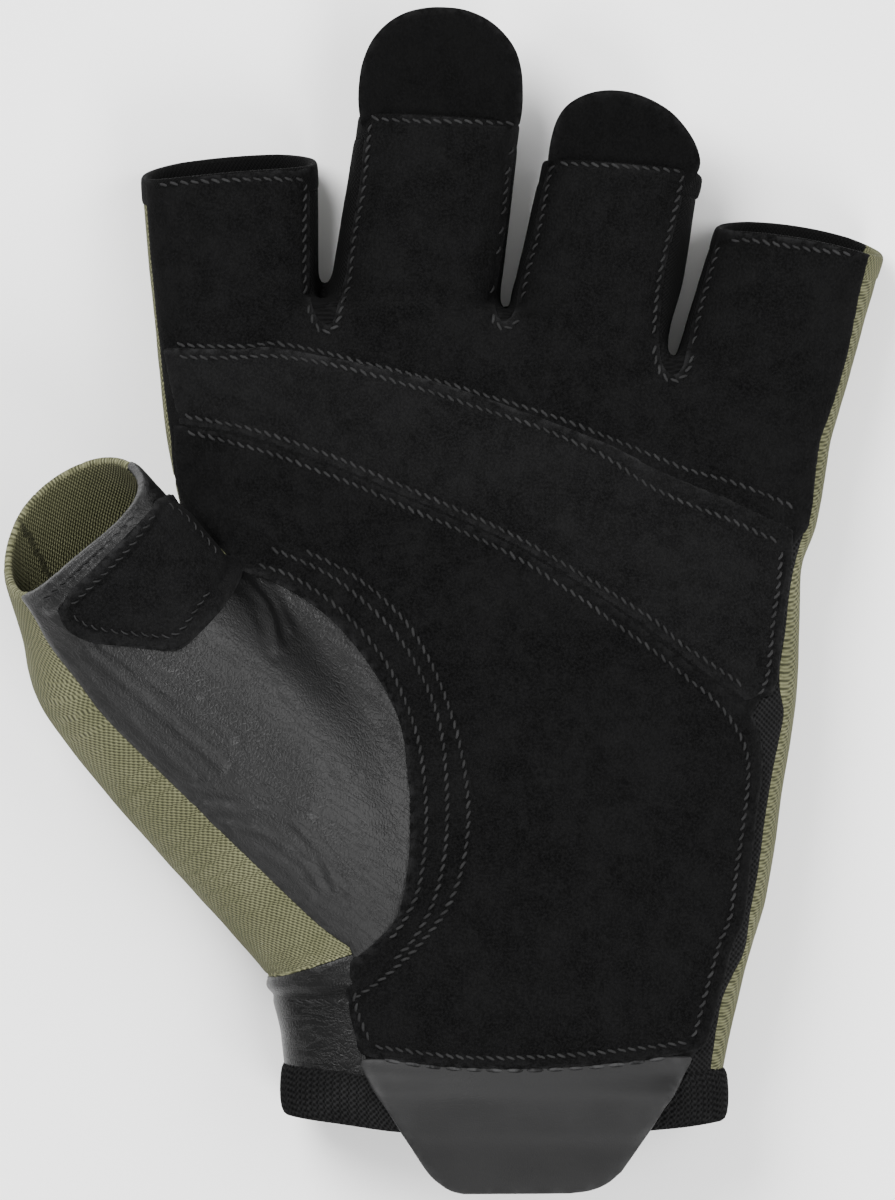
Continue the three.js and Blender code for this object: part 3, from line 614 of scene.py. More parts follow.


def sewn_panel(name, bm, normals_of, lift, wall=WALL, rim=0.25, cloth=None, soften=2):
    """Closes an open patch into a sheet with rounded edges, and returns its object."""
    bm.verts.ensure_lookup_table()
    bm.verts.index_update()
    points = np.array([v.co for v in bm.verts])
    faces = [[v.index for v in f.verts] for f in bm.faces]
    pairs = np.array([[v.index for v in e.verts] for e in bm.edges])
    rim_edges, outward = [], np.zeros_like(points)
    normals = unit(evened(normals_of(points), pairs, soften))
    for edge in bm.edges:
        if len(edge.link_faces) != 1:
            continue
        loop = edge.link_loops[0]
        a, b = loop.vert.index, loop.link_loop_next.vert.index
        out = np.cross(points[b] - points[a], normals[a])
        outward[a] += out
        outward[b] += out
        rim_edges.append((a, b))
    bm.free()
    rims = np.array(rim_edges)
    outward = unit(outward)
    on_rim = np.unique(rims)
    outward[on_rim] = unit(evened(outward, rims, 4)[on_rim])
    starts, ends = points[rims[:, 0]], points[rims[:, 1]]
    edge_tree = kd_tree(np.vstack([starts * (1 - t) + ends * t for t in (0, 0.34, 0.67)]))
    far = np.array([edge_tree.find(p)[2] for p in points])
    height = lift(points, far, normals)
    top, bottom = points + normals * height[:, None], points - normals * wall
    radius = np.minimum(rim, (height[on_rim] + wall) / 2.2)
    layers = [top, bottom]
    for number, angle in enumerate(ROUND_RIM):
        turn = math.radians(angle)
        sunk = radius * (1 - math.cos(turn))
        rise = height[on_rim] - sunk if number < len(ROUND_RIM) / 2 else sunk - wall
        out = radius * math.sin(turn)
        layers.append(points[on_rim] + normals[on_rim] * rise[:, None] + outward[on_rim] * out[:, None])
    all_points = np.vstack(layers)
    all_points[:, 2] = np.maximum(all_points[:, 2], FLOOR_GAP)
    count, rings = len(points), len(ROUND_RIM)
    all_faces = [tuple(f) for f in faces] + [tuple(count + i for i in reversed(f)) for f in faces]
    index_of = {v: 2 * count + i for i, v in enumerate(on_rim)}
    for a, b in rim_edges:
        down = [k * len(on_rim) for k in range(rings)]
        column = [(b, a), *[(index_of[b] + k, index_of[a] + k) for k in down], (count + b, count + a)]
        for (b0, a0), (b1, a1) in zip(column, column[1:]):
            all_faces.append((b0, a0, a1, b1))
    made = mesh_object(name, all_points, all_faces, MM)
    made.data.shade_smooth()
    near_edge = np.exp(-far / EDGE_FADE)
    put_attribute(made, "near_edge", np.concatenate([near_edge, near_edge, np.ones(rings * len(on_rim))]))
    flat = (cloth or flat_cloth)(points)
    put_cloth(made, np.vstack([flat, flat, *[flat[on_rim]] * rings]))
    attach(made, "root")
    print(name, len(all_faces), "faces, lifted", *np.round([height.min(), height.max()], 2))
    return made


def put_attribute(made, name, values):
    attribute = made.data.attributes.new(name, "FLOAT", "POINT")
    attribute.data.foreach_set("value", np.asarray(values, np.float32))


def put_cloth(made, flat):
    """Stores flat cloth coordinates, in millimetres, as a UV map named cloth."""
    layer = made.data.uv_layers.new(name="cloth")
    corners = np.empty(len(made.data.loops), np.int32)
    made.data.loops.foreach_get("vertex_index", corners)
    layer.data.foreach_set("uv", np.asarray(flat, np.float32)[corners].ravel())


def flat_cloth(points):
    return points[:, :2]


def wrapped_cloth(points):
    """Cloth that comes up the sides from below: its width runs on up the side."""
    middle = np.interp(points[:, 1], [-72, -20, 30, 70], [9.5, 6.0, 8.0, 11.0])
    return np.column_stack([points[:, 0] + points[:, 2] * np.sign(points[:, 0] - middle), points[:, 1]])


thumb_axis = np.array([f[0] for f in thumb_line])


def thumb_cloth(points):
    """Cloth round the thumb: round it as a length, and along it."""
    runs = np.diff(thumb_axis, axis=0)
    squares = (runs**2).sum(1)
    along = np.concatenate([[0], np.cumsum(np.sqrt(squares))])
    share = np.einsum("psk,sk->ps", points[:, None] - thumb_axis[None, :-1], runs) / squares
    share[:, 1:-1] = np.clip(share[:, 1:-1], 0, 1)
    share[:, 0], share[:, -1] = np.minimum(share[:, 0], 1), np.maximum(share[:, -1], 0)
    near = thumb_axis[None, :-1] + share[..., None] * runs
    part = np.argmin(((points[:, None] - near) ** 2).sum(-1), axis=1)
    spot = np.arange(len(points))
    t = share[spot, part]
    away = points - near[spot, part]
    blend = np.clip(t, 0, 1)[:, None]
    table = np.array([np.concatenate([f[1], f[2]]) for f in thumb_line])
    axes = table[part] * (1 - blend) + table[part + 1] * blend
    turn = np.arctan2((away * axes[:, 3:]).sum(1), (away * axes[:, :3]).sum(1))
    turn = np.where(turn > -math.pi / 2 - 0.6, turn, turn + 2 * math.pi)
    return np.column_stack([turn * 14.0, along[part] + t * np.sqrt(squares)[part]])


def side_cloth(points):
    """Cloth of a strip between two fingers: its height, and along the finger."""
    return points[:, [2, 1]]


# %% [markdown]
# ## The outlines
#
# These lines were measured on the photograph and are in millimetres, seen from above, with the
# middle of the glove's footprint at zero. A panel's outline is put together from them, and most
# rows of stitches run beside them.

# %% Seam lines
INDEX_LEFT = [
    (-38.6, 14.0), (-38.8, 20.0), (-39.2, 24.5), (-40.6, 34.5), (-41.6, 44.0), (-42.4, 53.0),
    (-43.0, 60.0), (-43.4, 70.0),
]
INDEX_RIGHT = [(-18.9, 70.0), (-18.9, 62.0), (-18.9, 54.3), (-18.9, 45.7)]
CROTCH_1 = [(-18.9, 45.7), (-18.6, 43.2), (-17.9, 41.2), (-16.6, 40.1), (-15.3, 40.4), (-14.5, 43.0)]
MIDDLE_LEFT = [
    (-14.5, 43.0), (-13.9, 45.3), (-13.3, 47.9), (-12.7, 53.0), (-11.8, 57.9), (-11.2, 61.9),
    (-10.8, 66.2), (-10.3, 70.5), (-9.6, 80.0),
]
MIDDLE_RIGHT = [
    (13.6, 80.0), (12.1, 69.7), (11.2, 63.9), (10.5, 58.0), (9.7, 51.0), (8.9, 46.3), (8.5, 43.2),
]
CROTCH_2 = [(8.5, 43.2), (8.9, 41.3), (9.8, 40.4), (10.9, 41.0), (11.6, 42.1), (12.1, 45.0)]
RING_LEFT = [(12.1, 45.0), (12.9, 48.4), (14.1, 52.5), (15.3, 58.2), (16.4, 63.0), (18.4, 72.0)]
RING_RIGHT = [(39.0, 71.0), (37.0, 62.2), (35.9, 57.4), (34.7, 52.7), (33.7, 48.1), (33.2, 43.9)]
CROTCH_3 = [(33.2, 43.9), (32.8, 37.8), (33.2, 34.3), (34.4, 32.7), (35.6, 32.7), (36.6, 34.2), (37.2, 36.7)]
PINKY_LEFT = [(37.2, 36.7), (38.0, 40.8), (39.2, 45.0), (40.3, 48.8), (41.5, 53.0), (43.6, 62.0)]
PINKY_RIGHT = [
    (67.5, 62.0), (64.7, 53.0), (63.5, 49.0), (62.4, 44.5), (61.1, 38.3), (59.4, 31.5), (57.7, 26.4),
    (56.7, 23.3), (55.8, 18.0), (55.4, 13.6), (54.9, 10.6),
]
KNUCKLE_SIDE = [
    (52.5, 9.8), (52.2, 6.0), (51.7, 1.7), (50.9, -3.5), (50.6, -7.2), (50.0, -12.4), (48.6, -15.2),
]
SEAM_A = [
    (-39.9, 36.5), (-30.4, 36.2), (-24.4, 36.5), (-15.8, 35.0), (-6.3, 33.1), (3.0, 30.4), (13.1, 26.9),
    (24.2, 22.7), (30.6, 19.6), (37.1, 16.8), (43.5, 14.3), (47.8, 12.3), (52.1, 10.4),
]
SEAM_B = [
    (-38.6, 25.6), (-34.2, 24.9), (-27.7, 23.5), (-20.3, 20.9), (-12.9, 18.3), (-5.4, 15.0), (0.5, 12.5),
    (6.7, 9.8), (13.1, 6.7), (17.7, 3.9), (24.2, -0.1), (30.6, -4.6), (35.8, -8.7), (41.3, -12.7),
    (45.4, -15.6),
]
HEEL_SIDE = [
    (46.8, -18.7), (47.7, -22.1), (47.8, -26.5), (47.5, -28.1), (46.6, -35.3), (45.9, -40.8),
    (45.1, -47.4), (43.6, -51.0), (42.5, -54.8), (41.3, -59.3), (40.2, -63.7), (39.2, -66.2), (37.6, -67.2),
]
HEEL_FOOT = [
    (34.0, -67.7), (28.0, -68.6), (20.0, -69.3), (11.0, -69.6), (2.0, -69.3), (-5.0, -68.5), (-10.8, -67.4),
    (-11.5, -65.4), (-12.4, -62.0), (-12.9, -58.5),
]
THENAR = [
    (-12.6, -54.0), (-8.9, -51.0), (-5.6, -47.0), (-4.0, -39.1), (-3.7, -30.2), (-4.0, -27.6), (-5.1, -19.0),
    (-8.6, -11.8), (-13.7, -5.0), (-18.8, -0.7), (-24.3, 2.3), (-29.0, 3.7),
]
KNIT_EDGE = [
    (-12.4, -51.6), (-16.9, -48.3), (-23.1, -42.5), (-31.5, -34.5), (-39.8, -26.2), (-48.2, -17.9),
    (-52.3, -12.6), (-56.5, -7.1), (-58.9, -2.6), (-61.6, 1.2), (-67.0, 8.0),
]
GREEN_SIDE = [
    (54.9, 10.6), (53.2, 5.0), (52.3, 0.0), (51.7, -5.2), (50.9, -10.6), (50.9, -13.9), (51.5, -17.2),
    (50.7, -21.6), (49.6, -27.1), (48.7, -32.6), (47.6, -40.8), (46.5, -46.8), (45.7, -52.3),
    (43.8, -56.2), (42.2, -60.0), (41.3, -65.5), (40.5, -71.6), (40.0, -85.0),
]
BESIDE_HEEL_PAD = [
    (48.2, -14.0), (46.2, -18.7), (47.0, -22.1), (47.0, -26.5), (45.9, -35.3), (45.2, -40.8),
    (44.4, -47.4), (42.9, -51.0), (41.8, -54.8), (40.6, -59.3), (39.5, -63.7), (38.2, -67.3), (36.5, -71.6),
    (36.0, -85.0),
]
PATCH = [
    (-55.1, -1.9), (-54.6, -3.4), (-53.6, -4.7), (-50.5, -6.3), (-45.0, -7.1), (-40.1, -7.7), (-38.2, -7.7),
    (-36.0, -6.1), (-31.8, -1.5), (-29.6, 2.4), (-29.4, 3.8), (-31.8, 8.2), (-36.6, 13.4), (-39.4, 15.4),
]
PATCH_TOP = [(-41.4, 13.8), (-43.0, 11.6), (-46.8, 7.6), (-50.6, 3.8), (-54.3, 0.2)]


def outlined(*lines):
    """One closed outline out of lines that follow each other."""
    return np.vstack([smooth_line(line, 1.0)[:-1] if len(line) > 2 else line for line in lines])


def shares(*pairs):
    """Points given as shares of the palm."""
    return [tuple(plan(*pair)) for pair in pairs]


suede_outline = outlined(
    INDEX_LEFT, INDEX_RIGHT, CROTCH_1, MIDDLE_LEFT, MIDDLE_RIGHT, CROTCH_2, RING_LEFT, RING_RIGHT, CROTCH_3,
    PINKY_LEFT, PINKY_RIGHT, [(54.9, 10.6), (52.2, 7.0)], KNUCKLE_SIDE[1:], BESIDE_HEEL_PAD,
    [(36.0, -85.0), (-10.4, -85.0)], [(-10.4, -71.0), (-11.0, -67.0), (-12.4, -62.0), (-13.8, -57.0)], THENAR,
    [(-29.0, 3.7), (-34.0, 9.0)],
)
UNDER_THE_PADS = (  # the suede is left out where a pad hides it
    [
        (-30, 18), (-12, 12.5), (8, 4), (25, -6), (38, -16), (43, -24), (41, -38), (38, -55), (35, -64),
        (-5, -64), (2, -54), (9, -42), (9.5, -28), (6, -15), (-1, -4), (-11, 4), (-22, 9),
    ],
    [
        (-35, 33), (-20, 31), (0, 26.5), (20, 19.5), (35, 13), (47, 8), (46, -3), (43.5, -8), (35, -2),
        (22, 5), (8, 13), (-8, 19.5), (-22, 25), (-35, 28.5),
    ],
)
knuckle_outline = outlined(SEAM_A, KNUCKLE_SIDE, SEAM_B[::-1])
heel_outline = outlined(
    SEAM_B, HEEL_SIDE, HEEL_FOOT, THENAR, [(-29.0, 3.7), (-33.5, 10.0), (-37.6, 17.0), (-38.6, 25.6)],
)
gusset_outline = outlined(GREEN_SIDE, BESIDE_HEEL_PAD[::-1], KNUCKLE_SIDE[::-1])
leather_outline = outlined(THENAR[::-1], KNIT_EDGE, shares((-0.8, 0.75), (-0.66, 0.93), (-0.47, 0.84)))
knit_outline = outlined(
    shares(
        (-0.206, 0.22), (-0.217, 0.241), (-0.27, 0.351), (-0.324, 0.473), (-0.362, 0.595), (-0.38, 0.683),
        (-0.484, 0.802),
    ),
    shares((-0.66, 0.93), (-0.9, 0.7), (-0.8, 0.4)),
    shares((-0.42, 0.16), (-0.34, 0.19), (-0.301, 0.195), (-0.206, 0.22)),
)
wrist_outline = outlined(
    shares((-0.5, 0.15), (-0.34, 0.186)), shares((-0.34, 0.186), (-0.3, 0.19), (-0.206, 0.215)),
    shares((-0.206, 0.215), (-0.197, 0.17), (-0.188, 0.1), (-0.185, 0.0)),
    shares((-0.185, -0.1), (-0.5, -0.1)),
)
print("outlines:", len(suede_outline), len(heel_outline), len(knuckle_outline), len(leather_outline))

# %% [markdown]
# ## Stitch rows
#
# Thread pulls leather down, so every row of stitches lies in a shallow valley and the panel
# swells beside it. The same rows are used twice: first to press the valleys into the panels, and
# later to lay the thread in them.

# %% Stitch rows
FINGER_ROWS = {
    "index_top": [(-41.2, 60.8), (-40.3, 61.0), (-33.6, 61.4), (-26.2, 61.7), (-19.6, 61.7)],
    "index_inner": [
        (-19.5, 61.4), (-19.6, 54.0), (-19.5, 46.0), (-18.8, 42.0), (-17.4, 39.3), (-15.7, 39.1),
        (-14.6, 40.4),
        (-14.0, 43.0), (-13.2, 45.3), (-12.7, 47.9), (-12.2, 53.0), (-11.2, 57.9), (-10.6, 61.9),
        (-9.8, 70.0),
    ],
    "middle_top": [(-9.9, 71.0), (-8.1, 70.6), (-2.5, 70.3), (4.9, 70.2), (11.6, 70.0)],
    "middle_inner": [
        (11.9, 69.6), (10.6, 63.9), (10.0, 58.0), (9.1, 51.0), (8.3, 46.3), (8.0, 42.6), (8.6, 40.3),
        (9.9, 39.5),
        (11.6, 40.2), (12.4, 42.1), (12.9, 45.0), (13.6, 48.4), (14.8, 52.5), (16.0, 58.2), (16.7, 62.2),
        (17.3, 64.0),
    ],
    "ring_top": [(18.1, 64.1), (24.2, 63.8), (30.1, 63.4), (36.2, 62.9)],
    "ring_inner": [
        (36.4, 62.6), (35.3, 57.4), (34.1, 52.7), (33.1, 48.1), (32.5, 43.9), (32.1, 37.8), (32.6, 34.0),
        (34.2, 31.9), (36.2, 32.1), (37.4, 34.0), (38.0, 36.7), (38.7, 40.8), (39.8, 45.0), (40.9, 48.8),
        (41.8, 51.9),
    ],
    "pinky_top": [(42.0, 52.3), (46.0, 52.7), (53.1, 51.6), (58.0, 51.0), (61.4, 50.6)],
}
SEAM_ROWS = {
    "seam_a_upper": [
        (-38.6, 37.3), (-35.1, 37.0), (-30.4, 36.9), (-27.2, 37.0), (-24.4, 37.4), (-20.1, 36.8),
        (-15.7, 35.8),
        (-11.4, 34.6), (-6.3, 33.4), (-1.6, 32.2), (3.0, 31.0), (6.7, 29.8), (13.1, 27.9), (17.7, 26.4),
        (24.2, 23.9), (30.6, 21.3), (37.1, 18.7), (43.5, 16.9), (47.8, 15.3), (52.8, 13.2),
    ],
    "seam_a_lower": [
        (-38.2, 35.4), (-33.0, 35.2), (-28.7, 35.3), (-24.4, 35.5), (-18.2, 34.7), (-13.5, 33.7),
        (-8.9, 32.5),
        (-4.1, 31.1), (1.5, 29.4), (5.2, 28.1), (10.0, 26.6), (14.6, 25.1), (19.9, 22.9), (23.8, 21.2),
        (26.9, 19.3), (31.2, 16.4), (37.1, 13.6), (43.5, 11.2), (47.8, 9.2), (50.4, 8.1),
    ],
    "knuckle_side": [(50.9, 6.7), (50.5, 1.7), (49.7, -3.5), (49.4, -7.2), (48.8, -12.0), (47.6, -14.7)],
    "seam_b_upper": [
        (-37.4, 26.7), (-34.2, 26.1), (-28.7, 25.0), (-25.0, 24.0), (-20.4, 22.5), (-16.6, 21.1),
        (-13.2, 19.8),
        (-9.4, 18.1), (-4.4, 16.0), (0.5, 13.9), (6.7, 11.2), (13.1, 8.1), (17.7, 5.4), (24.2, 1.5),
        (30.6, -2.6),
        (33.2, -4.4), (36.0, -7.0), (39.5, -9.3), (45.2, -13.2),
    ],
    "seam_b_lower": [
        (-37.0, 24.2), (-34.2, 23.7), (-26.6, 21.7), (-21.9, 20.2), (-17.6, 18.5), (-14.0, 17.2),
        (-8.3, 14.8),
        (-4.1, 12.9), (0.5, 11.0), (5.2, 8.9), (8.3, 7.5), (13.4, 4.8), (17.7, 2.0), (22.0, -0.8),
        (26.3, -4.0),
        (30.6, -7.0), (34.0, -9.6), (37.1, -12.2), (40.5, -14.9), (43.1, -17.8), (44.8, -20.6), (45.9, -23.8),
        (45.9, -28.1), (45.0, -35.3), (44.2, -40.8), (43.3, -47.4), (41.9, -50.7), (40.8, -54.5),
        (39.6, -58.8),
        (38.5, -63.0), (37.8, -65.2),
    ],
    "heel_foot": [(37.0, -65.8), (30.6, -66.6), (17.5, -67.8), (4.3, -68.0), (-9.2, -66.4)],
    "heel_left": [(-9.8, -65.6), (-10.9, -63.4), (-11.8, -61.0), (-12.2, -58.4)],
    "thenar_1": [
        (-26.5, 4.6), (-22.2, 3.3), (-16.7, 0.0), (-12.0, -4.2), (-7.6, -9.6), (-4.6, -15.6), (-2.6, -21.8),
        (-1.7, -28.7), (-1.6, -35.1), (-2.5, -42.4), (-4.3, -47.0), (-6.8, -50.6),
    ],
    "thenar_2": [
        (-24.6, 7.0), (-22.2, 6.1), (-15.8, 3.1), (-9.4, -2.0), (-5.1, -6.8), (-1.7, -12.8), (0.6, -19.6),
        (1.5, -28.6), (1.3, -37.0), (-0.2, -44.3), (-2.9, -49.9), (-6.2, -53.7),
    ],
    "thenar_3": [
        (-19.5, 6.7), (-15.0, 4.6), (-11.4, 2.4), (-8.0, -0.3), (-4.4, -4.0), (-1.6, -8.4), (0.9, -13.9),
        (3.2, -21.0), (4.5, -28.6), (4.6, -34.6), (3.5, -41.0), (1.5, -46.0),
        (-1.0, -49.6), (-4.6, -53.5), (-8.9, -57.1), (-12.4, -59.4),
    ],
}
PATCH_ROWS = {
    "patch_side": [
        (-39.6, 13.6), (-37.1, 12.0), (-34.7, 9.3), (-32.4, 6.6), (-31.6, 4.4), (-32.3, 2.4), (-33.7, 0.4),
        (-35.4, -2.0), (-37.2, -4.6), (-39.0, -5.9), (-42.5, -5.7), (-47.0, -5.2), (-50.9, -4.4),
        (-53.4, -2.8),
    ],
    "patch_top": [(-53.6, -1.4), (-50.6, 1.4), (-47.6, 4.3), (-44.1, 8.1), (-42.0, 11.0), (-40.6, 13.4)],
}
BAND_ROW = {
    "thumb_band": [(-57.8, -0.8), (-53.0, 3.1), (-48.3, 7.5), (-45.2, 10.8), (-43.3, 13.4), (-42.0, 15.8)],
}
near_finger_rows = near_line(*FINGER_ROWS.values(), SEAM_ROWS["seam_a_upper"])
near_pad_rows = near_line(*SEAM_ROWS.values())
near_patch_rows = near_line(*PATCH_ROWS.values(), *BAND_ROW.values())
print("rows of stitches:", len(FINGER_ROWS) + len(SEAM_ROWS) + len(PATCH_ROWS) + len(BAND_ROW))


def ridge(far, height, width):
    """The height of a rounded ridge at a distance from its crest."""
    return height * np.exp(-((far / width) ** 2))


def valley(far, depth, width):
    """How far thread presses the leather down at a distance from its row."""
    return -ridge(far, depth, width)


def rounded(far, width):
    """The height, from 0 to 1, of an edge rounded over a width."""
    return np.sqrt(1 - (1 - np.clip(far / width, 0, 1)) ** 2)


# %% [markdown]
# ## The plain knit and the other thin panels
#
# The back, the sides and the outer side of the thumb are one stretchy knit; black strips join
# the fingers, and an elastic gusset runs down the little finger's side. They are cut one after
# the other from what the panels before them left, as on the CAD part.

# %% Cutters
def above_thumb_seam():
    """The block above the thumb's seam, which runs a little below the middle of its tube."""
    spine = thumb_frames(1)
    low, high = -0.12 * THUMB_THICKNESS, 63
    corners = ((-76, low), (76, low), (76, high), (-76, high))
    rings = [
        np.array([middle + aside * across + rise * up for aside, rise in corners])
        for middle, across, up, *_ in spine
    ]
    points, faces = loft([rings[0] + 50 * spine[0][3], *rings])
    return points, [tuple(reversed(f)) for f in faces]


SIDES_FROM, SUEDE_FROM, GUSSET_FROM, PADS_FROM = 4.0, 9.5, 10.0, 11.0  # heights where the cuts start
seam_slab = cutter(outward_facing(*above_thumb_seam()))
leather_cutter = boolean(cutter(prism(leather_outline)), ("INTERSECT", seam_slab))
knit_cutter = cutter(prism(knit_outline))
wrist_cutter = cutter(prism(wrist_outline, SIDES_FROM))
suede_cutter = cutter(prism(suede_outline, SUEDE_FROM))
gusset_cutter = cutter(prism(gusset_outline, GUSSET_FROM))


def gap_outline(first, second):
    """The strip seen from above between the middles of two fingers."""
    a, _ = finger_line(first)
    b, _ = finger_line(second)
    deep = -FINGER_ROOT_DEPTH / 2
    return [a(deep, 0), b(deep, 0), b(70, 0), a(70, 0)]


neighbours = zip(list(FINGERS)[:-1], list(FINGERS)[1:])
gap_cutters = [cutter(prism(gap_outline(*pair), SIDES_FROM)) for pair in neighbours]

# %% Thin panels
rest = boolean(plain_open, ("DIFFERENCE", leather_cutter))
thumb_knit_skin = skin_patch(rest, ("INTERSECT", knit_cutter))
rest = boolean(rest, ("DIFFERENCE", knit_cutter), ("DIFFERENCE", wrist_cutter), ("DIFFERENCE", suede_cutter))
gusset_skin = skin_patch(rest, ("INTERSECT", gusset_cutter))
HEM_COVERS = 2.6  # the hems cover this much of the knit
hem_blocks = cutter(*[mouth_block(name, HEM_COVERS) for name in FINGERS])
rest = boolean(rest, ("DIFFERENCE", gusset_cutter), ("DIFFERENCE", hem_blocks))
gap_skins = []
for gap_cutter in gap_cutters:
    gap_skins.append(skin_patch(rest, ("INTERSECT", gap_cutter)))
    rest = boolean(rest, ("DIFFERENCE", gap_cutter))
back_skin = skin_patch(rest)


def knit_lift(points, far, normals):
    """Knit stretches a little unevenly."""
    swell = 0.25 * rounded(far, 1.0) - 0.12
    return swell + 0.22 * uneven(points, 16.0, 3.0) * ease(far, 0, 5) + 0.08 * uneven(points, 5.0, 5.0)


def strip_lift(points, far, normals):
    """Narrow strips bulge between their seams."""
    return 0.3 * rounded(far, 1.6) - 0.15 + 0.06 * uneven(points, 5.0, 9.0)


back_knit = sewn_panel("back_knit_panel", back_skin, plain_normals, knit_lift, wall=1.2, cloth=wrapped_cloth)
thumb_knit = sewn_panel(
    "thumb_knit_panel", thumb_knit_skin, plain_normals, knit_lift, wall=1.3, rim=0.6, cloth=thumb_cloth,
)
gusset = sewn_panel("side_gusset_elastic", gusset_skin, plain_normals, strip_lift, wall=1.2)
fourchettes = [
    sewn_panel(f"fourchette_{i + 1}_strip", skin, plain_normals, strip_lift, wall=1.2, cloth=side_cloth)
    for i, skin in enumerate(gap_skins)
]

# %% [markdown]
# ## Suede and leather
#
# The palm's panels come from the fine form, so that their stitch valleys and wrinkles can be
# real shapes. The suede is a flat layer; the two pads are thicker and crowned; the thumb's
# leather is thin, and wrinkles where it bends.

# %% Suede of the palm and fingers
holes = cutter(*[prism(outline) for outline in UNDER_THE_PADS])
FOLD = [(28.5, 18.3), (32.8, 17.8), (39.2, 15.3), (45.7, 13.1), (51.2, 10.7), (54.5, 9.8)]
near_fold = near_line(FOLD)


def on_top(normals):
    """1 where the skin faces up, falling to 0 down the sides, where a lift would widen it."""
    return ease(normals[:, 2], 0.1, 0.65)


def suede_lift(points, far, normals):
    """Suede swells beside its stitches and has one fold at the knuckle seam."""
    rows = near_finger_rows(points)
    swell = 0.55 * (1 - np.exp(-rows / 3.0)) + 0.3
    height = swell * (0.35 + 0.65 * rounded(far, 0.9)) + valley(rows, 0.28, 0.5)
    height += ridge(near_fold(points), 0.3, 0.7)
    height *= 1 - 0.9 * ease(-points[:, 1], 66.5, 68.0)
    height += 0.22 * uneven(points, 9.0, 11.0) * ease(rows, 0.5, 4) + 0.06 * uneven(points, 2.5, 13.0)
    return np.maximum(height * on_top(normals), 0.06)


suede_skin = skin_patch(
    fine_open, ("DIFFERENCE", leather_cutter), ("INTERSECT", suede_cutter), ("DIFFERENCE", holes),
)
palm_suede = sewn_panel("palm_suede_panel", suede_skin, fine_normals, suede_lift, wall=1.2, rim=0.2)

# %% Thumb leather, its suede patch and the wrist leather
WRINKLES = [  # lines, height, width
    ([(-51.0, -8.0), (-46.0, -12.5), (-39.8, -17.9), (-31.5, -25.1)], 0.27, 0.6),
    ([(-49.5, -6.9), (-44.0, -10.8), (-37.0, -16.0), (-30.0, -21.0)], 0.21, 0.5),
    ([(-46.5, -7.6), (-41.0, -11.5), (-35.0, -14.6)], 0.17, 0.5),
    ([(-52.6, -10.0), (-47.8, -15.2), (-41.0, -21.8), (-36.0, -26.5)], 0.21, 0.5),
    ([(-33.9, -30.8), (-28.0, -31.6), (-23.2, -32.0), (-18.0, -36.5), (-14.8, -42.8)], 0.27, 0.6),
    ([(-36.0, -28.0), (-30.0, -29.0), (-24.0, -29.4), (-18.5, -32.0)], 0.17, 0.5),
    ([(-30.5, -33.6), (-25.0, -35.0), (-20.0, -38.6), (-17.0, -43.0)], 0.21, 0.5),
    ([(-27.0, -37.0), (-22.5, -39.6), (-18.5, -44.2)], 0.16, 0.5),
    ([(-28.6, 2.4), (-26.5, 0.0), (-24.6, -3.4), (-23.8, -7.5)], 0.5, 0.8),
    ([(-26.2, 2.2), (-24.0, -0.6), (-22.0, -4.8)], 0.35, 0.7),
    ([(-56.6, -1.7), (-51.8, 2.4), (-47.4, 6.6), (-44.2, 9.9), (-42.2, 12.8)], 0.45, 0.6),
]
wrinkle_lines = [(near_line(line), height, width) for line, height, width in WRINKLES]


def seam_cloth(points):
    """Leather's flat coordinate: along the thumb's seam, and away from it."""
    return np.column_stack([points @ [0.74, -0.67, 0.0], points @ [0.67, 0.74, 0.3]])


def leather_lift(points, far, normals):
    """Thin leather waves gently, and wrinkles along measured lines."""
    height = 0.25 + 0.25 * rounded(far, 0.9) + 0.2 * uneven(points, 11.0, 21.0)
    chance = uneven(points, 3.0, 23.0)
    for near, depth, width in wrinkle_lines:
        away = near(points)
        profile = ridge(away, 1.0, width) - ridge(away - 2 * width, 0.5, width)
        height += depth * (0.7 + 0.6 * chance) * profile
    height += valley(near_patch_rows(points), 0.2, 0.45)
    return np.maximum(height, 0.1)


leather_skin = skin_patch(fine_open, ("INTERSECT", leather_cutter))
thumb_leather = sewn_panel(
    "thumb_leather_panel", leather_skin, fine_normals, leather_lift, wall=1.2, rim=0.5, cloth=seam_cloth,
)


def patch_lift(points, far, normals):
    """The patch lies on the leather and is sewn down round its edge."""
    rows = near_patch_rows(points)
    height = 0.75 + 0.5 * rounded(far, 0.7) + 0.45 * (1 - np.exp(-rows / 3.0)) + valley(rows, 0.35, 0.5)
    return height + 0.1 * uneven(points, 4.0, 31.0)


patch_cutter = boolean(cutter(prism(outlined(PATCH, PATCH_TOP))), ("INTERSECT", seam_slab))
patch_skin = skin_patch(fine_open, ("INTERSECT", patch_cutter))
thumb_patch = sewn_panel("thumb_suede_patch", patch_skin, fine_normals, patch_lift, wall=0.3, rim=0.25)


def wrist_lift(points, far, normals):
    """One fold and one pressed line run across the wrist."""
    x, y, _ = points.T
    folds = ridge(y + 57.2 - 0.06 * (x + 20), 0.35, 0.9) + valley(y + 59.0, 0.3, 0.6)
    return 0.2 + 0.25 * rounded(far, 0.9) + folds + 0.18 * uneven(points, 6.0, 37.0)


wrist_skin = skin_patch(
    fine_open, ("DIFFERENCE", leather_cutter), ("DIFFERENCE", knit_cutter), ("INTERSECT", wrist_cutter),
)
wrist_leather = sewn_panel("wrist_leather_panel", wrist_skin, fine_normals, wrist_lift, wall=1.2, rim=0.3)

# %% [markdown]
# The two pads are filled with foam, so cloth simulation says how far they swell. The skin under
# a pad becomes a sheet of cloth, five times its size because cloth behaves best at the size of a
# cushion. It is held at its edge and along its stitches, and air pressure pushes it up for twenty
# frames. How far each point rose, up to a cap, is added to the pad's height.

